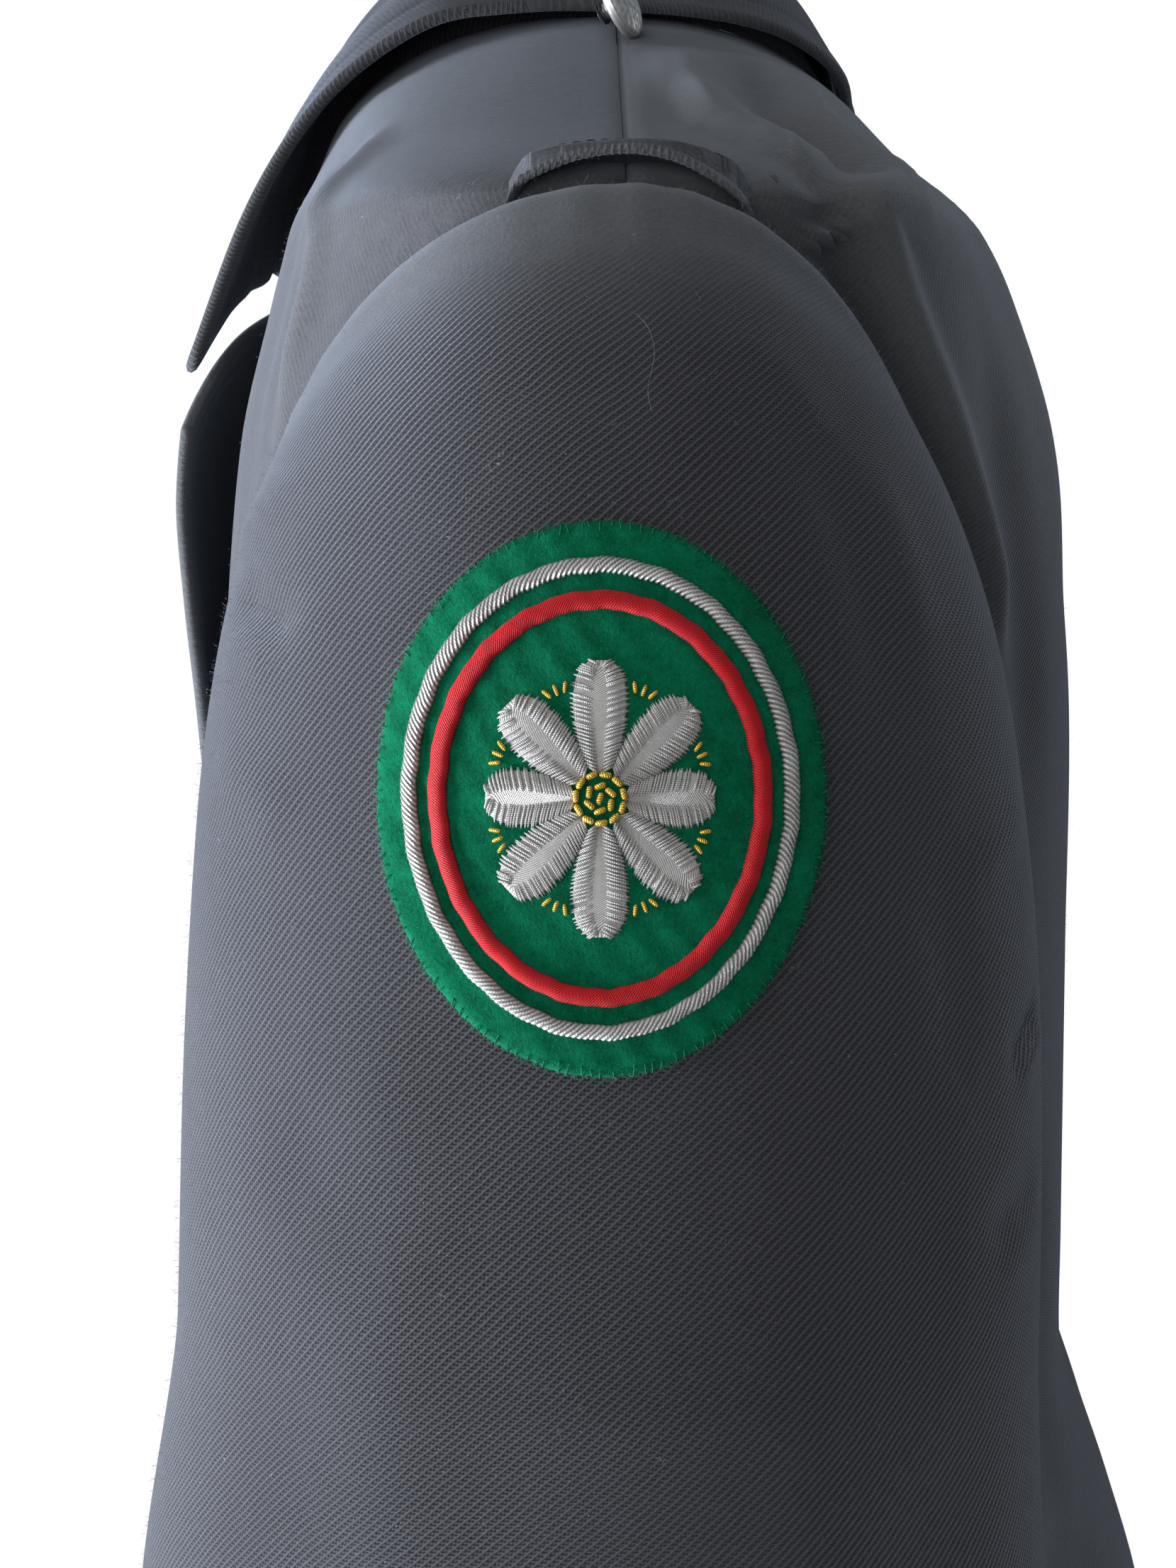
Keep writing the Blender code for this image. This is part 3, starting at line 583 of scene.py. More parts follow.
LEFT_SLEEVE = [
    # behind and above the patch, where the cloth ripples
    (yz([(0.0270, -0.0960), (0.0348, -0.1120), (0.0405, -0.1300), (0.0440, -0.1500)]), 0.0050, -0.0009, 0.4),
    (yz([(0.0400, -0.0980), (0.0475, -0.1200), (0.0520, -0.1450)]), 0.0060, 0.0008, 0.3),
    (yz([(0.0150, -0.0800), (0.0260, -0.0890), (0.0360, -0.1030)]), 0.0055, 0.0006, 0.0),
    (yz([(0.0480, -0.1650), (0.0545, -0.1850), (0.0560, -0.2120)]), 0.0070, -0.0010, 0.3),
    # short folds at the back edge of the sleeve
    (yz([(0.0660, -0.2075), (0.0710, -0.2035), (0.0745, -0.2000)]), 0.0028, -0.0016, 0.5, 0.25),
    (yz([(0.0600, -0.2350), (0.0690, -0.2310), (0.0745, -0.2290)]), 0.0050, -0.0012, 0.4),
    (yz([(0.0560, -0.1740), (0.0650, -0.1700), (0.0735, -0.1640)]), 0.0045, 0.0009, 0.3),
    # front edge of the sleeve
    (yz([(-0.0740, -0.1290), (-0.0665, -0.1300), (-0.0560, -0.1330)]), 0.0048, -0.0018, 0.4),
    (yz([(-0.0740, -0.1130), (-0.0640, -0.1110), (-0.0520, -0.1080)]), 0.0055, 0.0010, 0.2),
    (yz([(-0.0765, -0.1560), (-0.0660, -0.1600), (-0.0550, -0.1660)]), 0.0060, 0.0008, 0.3),
    (yz([(-0.0600, -0.2050), (-0.0480, -0.2200), (-0.0330, -0.2300)]), 0.0110, -0.0010, 0.2),
    # long soft hollows down the arm
    ([at_sleeve(-32, 0.55), at_sleeve(-28, 0.95), at_sleeve(-22, 1.35)], 0.0140, 0.0012, 0.0),
    ([at_sleeve(35, 0.75), at_sleeve(40, 1.10), at_sleeve(37, 1.45)], 0.0120, -0.0013, 0.2),
    ([at_sleeve(5, 1.15), at_sleeve(-12, 1.45), at_sleeve(-20, 1.75)], 0.0160, -0.0012, 0.0),
]
ELBOW = [
    ([at_sleeve(-118, 1.42), at_sleeve(-85, 1.47), at_sleeve(-52, 1.40)], 0.0070, -0.0036, 0.4),
    ([at_sleeve(-125, 1.56), at_sleeve(-90, 1.60), at_sleeve(-44, 1.66)], 0.0085, -0.0044, 0.3),
    ([at_sleeve(-112, 1.72), at_sleeve(-84, 1.73), at_sleeve(-58, 1.82)], 0.0065, -0.0030, 0.5),
    ([at_sleeve(-130, 1.86), at_sleeve(-100, 1.84), at_sleeve(-72, 1.90)], 0.0080, -0.0026, 0.2),
    ([at_sleeve(60, 1.48), at_sleeve(90, 1.55), at_sleeve(125, 1.50)], 0.0120, 0.0022, 0.2),
    ([at_sleeve(75, 1.80), at_sleeve(100, 1.72), at_sleeve(140, 1.74)], 0.0090, -0.0022, 0.3),
    ([at_sleeve(-60, 2.22), at_sleeve(-78, 2.40), at_sleeve(-70, 2.66)], 0.0100, -0.0016, 0.2),
    ([at_sleeve(40, 2.10), at_sleeve(70, 2.35), at_sleeve(85, 2.70)], 0.0110, 0.0016, 0.1),
    ([at_sleeve(160, 0.55), at_sleeve(172, 0.85), at_sleeve(185, 1.10)], 0.0070, -0.0026, 0.3),
    ([at_sleeve(205, 0.50), at_sleeve(198, 0.80), at_sleeve(190, 1.15)], 0.0080, -0.0024, 0.2),
    ([at_sleeve(120, 0.55), at_sleeve(135, 0.90), at_sleeve(150, 1.20)], 0.0090, 0.0020, 0.3),
]
RIGHT_SLEEVE = [
    ([at_sleeve(-30, 0.40), at_sleeve(-26, 0.85), at_sleeve(-34, 1.25)], 0.0130, -0.0014, 0.2),
    ([at_sleeve(22, 0.50), at_sleeve(34, 0.90), at_sleeve(30, 1.30)], 0.0110, 0.0012, 0.2),
    ([at_sleeve(62, 0.62), at_sleeve(48, 0.70), at_sleeve(36, 0.82)], 0.0050, -0.0014, 0.4),
    ([at_sleeve(70, 1.05), at_sleeve(52, 1.12), at_sleeve(38, 1.08)], 0.0060, -0.0012, 0.3),
    ([at_sleeve(-66, 0.80), at_sleeve(-52, 0.86), at_sleeve(-40, 0.98)], 0.0060, -0.0016, 0.3),
]
# the left back, with the folds that run off the shoulder
LEFT_BACK = [
    ([on_body(0.104, -0.0075), on_body(0.140, -0.0215), on_body(0.1664, -0.0332), on_body(0.195, -0.0470), on_body(0.2125, -0.0640)], 0.0060, 0.0027, -0.5, 0.2),
    ([on_body(0.142, -0.0222), on_body(0.172, -0.0345), on_body(0.197, -0.0455), on_body(0.2110, -0.0570)], 0.0042, 0.0020, 0.6, 0.25),
    ([on_body(0.096, -0.0130), on_body(0.1123, -0.0180), on_body(0.150, -0.0330), on_body(0.186, -0.0500), on_body(0.2060, -0.0570), on_body(0.1981, -0.0776), on_body(0.1890, -0.1027), on_body(0.1777, -0.1271), on_body(0.168, -0.1520)], 0.0066, 0.0046, 0.9, 0.12),
    ([on_body(0.170, -0.060), on_body(0.172, -0.100), on_body(0.160, -0.145), on_body(0.150, -0.200)], 0.0120, -0.0030, 0.2),
    ([on_body(0.120, -0.030), on_body(0.130, -0.080), on_body(0.122, -0.150)], 0.0150, 0.0022, 0.1),
]
RIGHT_BACK = [
    ([on_body(0.110, -0.0100), on_body(0.150, -0.0270), on_body(0.190, -0.0450), on_body(0.2085, -0.0660)], 0.0060, 0.0014, 0.4, 0.2),
    ([on_body(0.150, -0.0300), on_body(0.190, -0.0500), on_body(0.196, -0.0850), on_body(0.184, -0.1200)], 0.0085, 0.0024, 0.6, 0.2),
    ([on_body(0.168, -0.075), on_body(0.165, -0.120), on_body(0.150, -0.185)], 0.0120, -0.0026, 0.2),
]
BACKS = [
    # drag lines over the waist and folds under the arm
    ([at_theta(28, -0.262), at_theta(38, -0.320), at_theta(44, -0.400), at_theta(40, -0.480)], 0.0130, 0.0030, 0.3),
    ([at_theta(48, -0.250), at_theta(55, -0.330), at_theta(56, -0.410)], 0.0110, -0.0026, 0.2),
    ([at_theta(12, -0.300), at_theta(30, -0.345), at_theta(52, -0.372)], 0.0085, -0.0024, 0.4),
    ([at_theta(16, -0.355), at_theta(34, -0.385), at_theta(60, -0.396)], 0.0075, 0.0020, 0.3),
    ([at_theta(24, -0.425), at_theta(44, -0.415), at_theta(66, -0.425)], 0.0090, -0.0020, 0.3),
    ([at_theta(34, -0.560), at_theta(36, -0.650), at_theta(33, -0.742)], 0.0180, 0.0034, 0.0),
    ([at_theta(58, -0.540), at_theta(62, -0.640), at_theta(60, -0.742)], 0.0170, -0.0030, 0.0),
    ([at_theta(80, -0.200), at_theta(78, -0.300), at_theta(80, -0.390)], 0.0140, -0.0018, 0.0),
]
FRONTS = [
    ([at_theta(-26, -0.250), at_theta(-40, -0.300), at_theta(-58, -0.330)], 0.0090, -0.0022, 0.4),
    ([at_theta(-20, -0.300), at_theta(-38, -0.345), at_theta(-60, -0.372)], 0.0080, 0.0020, 0.3),
    ([at_theta(-24, -0.385), at_theta(-46, -0.392), at_theta(-72, -0.384)], 0.0070, -0.0024, 0.4),
    ([at_theta(-30, -0.430), at_theta(-52, -0.418), at_theta(-76, -0.404)], 0.0080, 0.0016, 0.2),
    ([at_theta(-30, -0.545), at_theta(-33, -0.640), at_theta(-31, -0.742)], 0.0180, 0.0030, 0.0),
    ([at_theta(-54, -0.560), at_theta(-57, -0.650), at_theta(-56, -0.742)], 0.0160, -0.0026, 0.0),
    ([at_theta(-22, -0.130), at_theta(-30, -0.180), at_theta(-34, -0.240)], 0.0110, -0.0020, 0.2),
]
LEFT_FRONT = [
    ([on_body(0.1352, -0.0303, False), on_body(0.1660, -0.0440, False), on_body(0.1880, -0.0600, False), on_body(0.1863, -0.0716, False), on_body(0.1816, -0.0851, False), on_body(0.1766, -0.0980, False)], 0.0042, 0.0017, 0.5, 0.2),
    # the roll of the shoulder into the sleeve, and the chest's edge by the lapel
    ([on_body(0.168, -0.042, False), on_body(0.185, -0.066, False), on_body(0.184, -0.090, False), on_body(0.178, -0.118, False)], 0.0060, 0.0016, 0.3),
    ([on_body(0.150, -0.036, False), on_body(0.160, -0.062, False), on_body(0.158, -0.095, False), on_body(0.152, -0.130, False)], 0.0080, -0.0014, 0.0),
]
RIGHT_FRONT = [
    ([on_body(0.172, -0.046, False), on_body(0.188, -0.072, False), on_body(0.182, -0.110, False)], 0.0070, 0.0013, 0.3),
    ([on_body(0.146, -0.040, False), on_body(0.156, -0.080, False), on_body(0.150, -0.135, False)], 0.0090, -0.0012, 0.0),
]


# ---------------------------------------------------------------- materials
class Look:
    """A procedural material; sizes in its patterns are metres on the cloth."""

    def __init__(self, name, rough, metal=0.0, sheen=0.0, sheen_rough=0.5, sheen_tint=(1, 1, 1), specular=0.5):
        self.mat = bpy.data.materials.new(name)
        self.mat.use_nodes = True
        self.tree = self.mat.node_tree
        self.shader = self.tree.nodes["Principled BSDF"]
        s = self.shader.inputs
        s["Roughness"].default_value = rough
        s["Metallic"].default_value = metal
        s["Specular IOR Level"].default_value = specular
        s["Sheen Weight"].default_value = sheen
        s["Sheen Roughness"].default_value = sheen_rough
        s["Sheen Tint"].default_value = (*sheen_tint, 1)

    def _put(self, socket, value):
        if hasattr(value, "links"):
            self.tree.links.new(value, socket)
        elif isinstance(value, (tuple, list)):
            socket.default_value = tuple(value) if len(value) == len(socket.default_value) else (*value, 1)
        else:
            socket.default_value = value

    def m(self, op, *values, clamp=False):
        node = self.tree.nodes.new("ShaderNodeMath")
        node.operation = op
        node.use_clamp = clamp
        for k, v in enumerate(values):
            self._put(node.inputs[k], v)
        return node.outputs[0]

    def uv(self):
        node = self.tree.nodes.new("ShaderNodeUVMap")
        node.uv_map = "cloth"
        split = self.tree.nodes.new("ShaderNodeSeparateXYZ")
        self.tree.links.new(node.outputs[0], split.inputs[0])
        return node.outputs[0], split.outputs[0], split.outputs[1]

    def place(self):
        return self.tree.nodes.new("ShaderNodeTexCoord").outputs["Object"]

    def share(self, name):
        node = self.tree.nodes.new("ShaderNodeAttribute")
        node.attribute_name = name
        return node.outputs["Fac"]

    def noise(self, where, scale, detail=2.0, rough=0.5):
        node = self.tree.nodes.new("ShaderNodeTexNoise")
        self.tree.links.new(where, node.inputs["Vector"])
        node.inputs["Scale"].default_value = scale
        node.inputs["Detail"].default_value = detail
        node.inputs["Roughness"].default_value = rough
        return node.outputs[0]

    def cells(self, where, scale):
        node = self.tree.nodes.new("ShaderNodeTexVoronoi")
        self.tree.links.new(where, node.inputs["Vector"])
        node.inputs["Scale"].default_value = scale
        return node.outputs["Distance"]

    def mix(self, share, a, b):
        node = self.tree.nodes.new("ShaderNodeMix")
        node.data_type = "RGBA"
        self._put(node.inputs[0], share)
        self._put(node.inputs[6], a)
        self._put(node.inputs[7], b)
        return node.outputs[2]

    def blend(self, share, a, b):
        node = self.tree.nodes.new("ShaderNodeMix")
        node.data_type = "FLOAT"
        self._put(node.inputs[0], share)
        self._put(node.inputs[2], a)
        self._put(node.inputs[3], b)
        return node.outputs[0]

    def band(self, value, low, high, to_low=0.0, to_high=1.0):
        node = self.tree.nodes.new("ShaderNodeMapRange")
        for k, v in enumerate((value, low, high, to_low, to_high)):
            self._put(node.inputs[k], v)
        return node.outputs[0]

    def colour(self, value):
        self._put(self.shader.inputs["Base Color"], value)

    def rough(self, value):
        self._put(self.shader.inputs["Roughness"], value)

    def bump(self, height, strength, depth):
        node = self.tree.nodes.new("ShaderNodeBump")
        node.inputs["Strength"].default_value = strength
        node.inputs["Distance"].default_value = depth
        self.tree.links.new(height, node.inputs["Height"])
        self.tree.links.new(node.outputs[0], self.shader.inputs["Normal"])


RIB_PITCH, RIB_LEAN, BEAD_PITCH = 0.00106, math.radians(50), 0.00082


def twill(name, dark, light, felted, pitch=RIB_PITCH, lean=RIB_LEAN):
    """Napped wool twill: slanting ribs with small beads of weft between them, worn smooth where nap is 1."""
    k = Look(name, 0.90, sheen=0.26, sheen_rough=0.40, sheen_tint=(0.74, 0.84, 1.0), specular=0.22)
    vec, u, v = k.uv()
    wide = k.noise(vec, 55, 2, 0.5)
    fine = k.noise(vec, 420, 2, 0.6)
    drift = k.m("ADD", k.m("MULTIPLY", k.m("SUBTRACT", wide, 0.5), 0.0016), k.m("MULTIPLY", k.m("SUBTRACT", fine, 0.5), 0.00045))
    v2 = k.m("ADD", v, drift)
    across = k.m("DIVIDE", k.m("SUBTRACT", k.m("MULTIPLY", v2, math.cos(lean)), k.m("MULTIPLY", u, math.sin(lean))), pitch)
    along = k.m("DIVIDE", k.m("ADD", k.m("MULTIPLY", u, math.cos(lean)), k.m("MULTIPLY", v2, math.sin(lean))), BEAD_PITCH)
    wave = k.m("ADD", k.m("MULTIPLY", k.m("SINE", k.m("MULTIPLY", across, 2 * math.pi)), 0.5), 0.5)
    ridge = k.m("POWER", wave, 2.1)
    bead = k.m("ADD", k.m("MULTIPLY", k.m("SINE", k.m("ADD", k.m("MULTIPLY", along, 2 * math.pi), k.m("MULTIPLY", k.m("FLOOR", k.m("ADD", across, 0.25)), 2.4))), 0.5), 0.5)
    low = k.m("SUBTRACT", 1.0, wave)
    beads = k.m("MULTIPLY", bead, low)
    fibre = k.noise(vec, 2600, 3, 0.7)
    fluff = k.noise(vec, 1100, 4, 0.75)
    mottle = k.noise(vec, 260, 4, 0.7)
    slow = k.noise(vec, 14, 3, 0.6)
    nap = k.share("nap")
    wear_and_painted_light = k.share("wear_and_painted_light")
    # the nap hides more of the ribs in some patches than in others
    hide = k.m("ADD", nap, k.m("MULTIPLY", k.m("SUBTRACT", mottle, 0.5), 0.5), clamp=True)
    ribbed = k.m("ADD", k.m("MULTIPLY", ridge, 0.75), k.m("MULTIPLY", beads, 0.42))
    height = k.blend(hide, ribbed, k.m("ADD", 0.30, k.m("MULTIPLY", fluff, 0.7)))
    height = k.m("ADD", height, k.m("MULTIPLY", fibre, 0.25))
    k.bump(height, 0.85, 0.00042)
    # colour of the ribs: each crest painted lighter and the grooves and gaps between beads painted darker, a painted
    # highlight and painted shade over the woven relief; where the nap hides the ribs, a mottled fluffy tone instead
    tone = k.blend(hide, k.m("ADD", k.m("MULTIPLY", ridge, 0.78), k.m("MULTIPLY", beads, 0.34)), k.m("ADD", k.m("MULTIPLY", k.m("SUBTRACT", mottle, 0.5), 0.70), k.m("ADD", 0.10, k.m("MULTIPLY", fluff, 0.62))))
    tone = k.m("ADD", tone, k.m("MULTIPLY", k.m("SUBTRACT", fibre, 0.5), 0.55))
    tone = k.m("ADD", tone, k.m("MULTIPLY", k.m("SUBTRACT", slow, 0.5), 0.35), clamp=True)
    plain = k.mix(tone, dark, light)
    # toward the paler felted grey by the share read above: real wear and felting, with a painted highlight on the
    # body's crease ridges and painted shade on the collar, which is held at no wear
    worn = k.mix(k.m("MULTIPLY", wear_and_painted_light, k.m("ADD", 0.35, k.m("MULTIPLY", fluff, 0.6)), clamp=True), plain, felted)
    speck = k.m("ADD", k.band(k.noise(vec, 1700, 1, 0.5), 0.74, 0.80), k.band(k.noise(vec, 640, 2, 0.6), 0.735, 0.77), clamp=True)
    k.colour(k.mix(k.m("MULTIPLY", speck, 0.42), worn, (0.24, 0.25, 0.28, 1)))
    return k.mat


def satin(name, dark, light):
    k = Look(name, 0.42, sheen=0.1, sheen_tint=(0.7, 0.75, 1.0), specular=0.4)
    vec, u, v = k.uv()
    rib = k.m("ADD", k.m("MULTIPLY", k.m("SINE", k.m("MULTIPLY", u, 2 * math.pi / 0.0007)), 0.5), 0.5)
    slow = k.noise(vec, 30, 3, 0.6)
    k.bump(k.m("ADD", k.m("MULTIPLY", rib, 0.4), k.noise(vec, 160, 3, 0.6)), 0.3, 0.0004)
    k.colour(k.mix(k.m("ADD", k.m("MULTIPLY", rib, 0.3), k.m("MULTIPLY", slow, 0.6), clamp=True), dark, light))
    k.rough(k.blend(slow, 0.36, 0.5))
    return k.mat


def felt(name, dark, light):
    k = Look(name, 0.97, sheen=0.06, sheen_rough=0.5, sheen_tint=(0.25, 1.0, 0.60), specular=0.06)
    where = k.place()
    fluff = k.noise(where, 1500, 4, 0.75)
    lumps = k.noise(where, 420, 3, 0.65)
    slow = k.noise(where, 60, 2, 0.5)
    hairs = k.noise(where, 3200, 2, 0.6)
    k.bump(k.m("ADD", k.m("ADD", k.m("MULTIPLY", fluff, 0.7), k.m("MULTIPLY", lumps, 0.6)), k.m("MULTIPLY", hairs, 0.3)), 0.8, 0.0004)
    tone = k.m("ADD", k.m("MULTIPLY", fluff, 0.75), k.m("MULTIPLY", k.m("SUBTRACT", lumps, 0.5), 0.7))
    tone = k.m("ADD", tone, k.m("MULTIPLY", k.m("SUBTRACT", slow, 0.5), 0.5))
    tone = k.m("ADD", tone, k.m("MULTIPLY", k.m("SUBTRACT", hairs, 0.5), 0.6), clamp=True)
    k.colour(k.mix(tone, dark, light))
    return k.mat


def thread(name, dark, light, pitch, slant, rough, metal=0.0, sheen=0.0, specular=0.5, depth=0.00012):
    """Laid or twisted thread: fine lines slanting over the piece, on its own along and across sizes."""
    k = Look(name, rough, metal=metal, sheen=sheen, specular=specular)
    vec, u, v = k.uv()
    line = k.m("DIVIDE", k.m("ADD", u, k.m("MULTIPLY", v, slant)), pitch)
    wobble = k.m("MULTIPLY", k.m("SUBTRACT", k.noise(vec, 700, 2, 0.5), 0.5), 0.5)
    wave = k.m("ADD", k.m("MULTIPLY", k.m("SINE", k.m("MULTIPLY", k.m("ADD", line, wobble), 2 * math.pi)), 0.5), 0.5)
    grain = k.noise(vec, 2400, 2, 0.6)
    slow = k.noise(vec, 180, 3, 0.6)
    k.bump(k.m("ADD", wave, k.m("MULTIPLY", grain, 0.4)), 0.7, depth)
    tone = k.m("ADD", k.m("MULTIPLY", k.m("POWER", wave, 0.8), 0.75), k.m("MULTIPLY", k.m("SUBTRACT", slow, 0.4), 0.6))
    tone = k.m("ADD", tone, k.m("MULTIPLY", k.m("SUBTRACT", grain, 0.5), 0.35), clamp=True)
    k.colour(k.mix(tone, dark, light))
    k.rough(k.blend(grain, max(rough - 0.08, 0.05), rough + 0.12))
    return k.mat


def pewter(name):
    k = Look(name, 0.42, metal=0.85)
    where = k.place()
    hollow = k.share("hollow")
    scratch = k.noise(where, 2200, 3, 0.7)
    stain = k.noise(where, 260, 4, 0.65)
    k.bump(k.m("ADD", k.m("MULTIPLY", scratch, 0.4), k.m("MULTIPLY", k.cells(where, 900), 0.5)), 0.35, 0.00010)
    bright = k.mix(stain, (0.70, 0.70, 0.69, 1), (0.92, 0.92, 0.91, 1))
    k.colour(k.mix(k.m("MULTIPLY", hollow, 0.60), bright, (0.12, 0.12, 0.12, 1)))
    k.rough(k.m("ADD", k.m("MULTIPLY", hollow, 0.25), k.blend(stain, 0.36, 0.52)))
    return k.mat


def plain_fibre(name, colour, light, rough=0.8, sheen=0.0):
    k = Look(name, rough, sheen=sheen, specular=0.3)
    where = k.place()
    k.colour(k.mix(k.noise(where, 900, 2, 0.6), colour, light))
    return k.mat


CLOTH = twill("wool_twill", (0.0062, 0.0060, 0.0078, 1), (0.078, 0.076, 0.088, 1), (0.112, 0.117, 0.120, 1))
LINING = satin("lining_satin", (0.012, 0.013, 0.019, 1), (0.040, 0.043, 0.056, 1))
FELT = felt("felt_green", (0.0004, 0.046, 0.020, 1), (0.0022, 0.200, 0.092, 1))
GREEN_THREAD = thread("thread_green", (0.001, 0.080, 0.036, 1), (0.010, 0.250, 0.125, 1), 0.0004, 0.4, 0.8, specular=0.15)
RED = thread("cord_red", (0.22, 0.0008, 0.0022, 1), (0.66, 0.007, 0.014, 1), 0.00042, 0.85, 0.6, sheen=0.05, specular=0.25)
SILVER = thread("bullion_silver", (0.22, 0.21, 0.20, 1), (0.66, 0.645, 0.62, 1), 0.00030, 0.5, 0.40, metal=0.35)
CORD_PITCH = 0.2067 / 230
SILVER_CORD = thread("bullion_silver_cord", (0.13, 0.125, 0.12, 1), (0.72, 0.70, 0.675, 1), CORD_PITCH, 3.0 * CORD_PITCH / 0.0026, 0.40, metal=0.35, depth=0.00035)
GOLD = thread("bullion_gold", (0.30, 0.15, 0.006, 1), (0.95, 0.66, 0.10, 1), 0.00030, 0.3, 0.34, metal=0.55)
DARK_THREAD = plain_fibre("thread_dark", (0.006, 0.006, 0.008, 1), (0.030, 0.031, 0.036, 1))
FLUFF = plain_fibre("fluff_grey", (0.060, 0.062, 0.072, 1), (0.22, 0.23, 0.26, 1), 0.9)
FLUFF_GREEN = plain_fibre("fluff_green", (0.001, 0.090, 0.040, 1), (0.008, 0.27, 0.130, 1), 0.9)
LINT = plain_fibre("lint_pale", (0.16, 0.165, 0.17, 1), (0.30, 0.31, 0.32, 1), 0.9)
PEWTER = pewter("button_pewter")


# ---------------------------------------------------------------- meshes
def build(name, points, faces, looks, uv=None, shares=None, slots=None, smooth_faces=True):
    """A mesh object; uv is a point's place on the flat cloth, shares are named numbers per point."""
    mesh = bpy.data.meshes.new(name)
    points = np.asarray(points, np.float32)
    sizes = np.array([len(f) for f in faces], np.int32) if not isinstance(faces, np.ndarray) else np.full(len(faces), faces.shape[1], np.int32)
    corners = np.concatenate([np.asarray(f, np.int32) for f in faces]) if not isinstance(faces, np.ndarray) else faces.reshape(-1).astype(np.int32)
    mesh.vertices.add(len(points))
    mesh.vertices.foreach_set("co", points.reshape(-1))
    mesh.loops.add(len(corners))
    mesh.loops.foreach_set("vertex_index", corners)
    mesh.polygons.add(len(sizes))
    mesh.polygons.foreach_set("loop_start", np.concatenate([[0], np.cumsum(sizes)[:-1]]).astype(np.int32))
    mesh.polygons.foreach_set("loop_total", sizes)
    for look in looks:
        mesh.materials.append(look)
    if slots is not None:
        mesh.polygons.foreach_set("material_index", np.asarray(slots, np.int32))
    mesh.polygons.foreach_set("use_smooth", np.full(len(sizes), smooth_faces))
    mesh.update(calc_edges=True)
    if uv is not None:
        layer = mesh.uv_layers.new(name="cloth")
        layer.data.foreach_set("uv", np.asarray(uv, np.float32)[corners].reshape(-1))
    for key, values in (shares or {}).items():
        a = mesh.attributes.new(key, "FLOAT", "POINT")
        a.data.foreach_set("value", np.asarray(values, np.float32))
    mesh.validate()
    ob = bpy.data.objects.new(name, mesh)
    bpy.context.scene.collection.objects.link(ob)
    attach(ob, "root")
    return ob


def edge_distance(p, end):
    """How far each point of a grid is from one of its edges: top, bottom, first or last."""
    axis = 0 if end in ("top", "bottom") else 1
    step = np.linalg.norm(np.diff(p, axis=axis), axis=-1)
    run = np.concatenate([np.zeros_like(step[:1]), np.cumsum(step, 0)], 0) if axis == 0 else np.concatenate([np.zeros_like(step[:, :1]), np.cumsum(step, 1)], 1)
    if end in ("bottom", "last"):
        run = (run[-1:] if axis == 0 else run[:, -1:]) - run
    return run


def shell(name, outer, inner, uv, looks, shares=None, bulge=(0.0009, 0.0009, 0.0009, 0.0009), mirror=False, layers=3):
    """A closed piece of cloth between two grids of points, with rounded edges; bulge is for the first row, last row, first column, last column."""
    rows, cols = outer.shape[:2]
    total = rows * cols
    pts = [outer.reshape(-1, 3), inner.reshape(-1, 3)]
    r, c = np.arange(rows - 1)[:, None], np.arange(cols - 1)[None, :]
    a = (r * cols + c).reshape(-1)
    quads = np.stack([a, a + 1, a + cols + 1, a + cols], -1)
    faces = [quads, total + quads[:, ::-1]]
    slots = [np.zeros(len(quads), int), np.ones(len(quads), int)]
    ring = [(0, k) for k in range(cols)] + [(k, cols - 1) for k in range(1, rows)]
    ring += [(rows - 1, k) for k in range(cols - 2, -1, -1)] + [(k, 0) for k in range(rows - 2, 0, -1)]
    rr, rc = np.array(ring).T
    out = np.zeros((len(ring), 3))
    amount = np.zeros(len(ring))
    for on, other_r, other_c, size in (
        (rr == 0, np.ones_like(rr), rc, bulge[0]),
        (rr == rows - 1, np.full_like(rr, rows - 2), rc, bulge[1]),
        (rc == 0, rr, np.ones_like(rc), bulge[2]),
        (rc == cols - 1, rr, np.full_like(rc, cols - 2), bulge[3]),
    ):
        d = unit(outer[rr, rc] - outer[other_r, other_c])
        out[on] += d[on] * size
        amount[on] = np.maximum(amount[on], size)
    a, b = outer[rr, rc], inner[rr, rc]
    mid, arm = (a + b) / 2, (a - b) / 2
    ring_ids = rr * cols + rc
    before = ring_ids
    base = 2 * total
    flat = uv.reshape(-1, 2)
    uvs = [flat, flat]
    nxt = np.roll(np.arange(len(ring)), -1)
    for k in range(1, layers + 1):
        f = math.pi * k / (layers + 1)
        pts.append(mid + arm * math.cos(f) + out * math.sin(f))
        uvs.append(flat[ring_ids] + np.array([0.0003, 0.0003]) * k)
        ids = base + np.arange(len(ring))
        faces.append(np.stack([before[nxt], before, ids, ids[nxt]], -1))
        slots.append(np.zeros(len(ring), int))
        before = ids
        base += len(ring)
    ids = total + ring_ids
    faces.append(np.stack([before[nxt], before, ids, ids[nxt]], -1))
    slots.append(np.zeros(len(ring), int))
    pts = np.concatenate(pts)
    faces = np.concatenate(faces)
    if mirror:
        pts = pts * np.array([-1, 1, 1])
    q = quads[len(quads) // 2]
    way = np.cross(pts[q[1]] - pts[q[0]], pts[q[3]] - pts[q[0]])
    if np.dot(way, pts[q[0]] - pts[total + q[0]]) < 0:
        faces = faces[:, ::-1]
    named = {}
    for key, values in (shares or {}).items():
        v = values.reshape(-1)
        named[key] = np.concatenate([v, v] + [v[ring_ids]] * layers)
    return build(name, pts, faces, looks, np.concatenate(uvs), named, np.concatenate(slots))


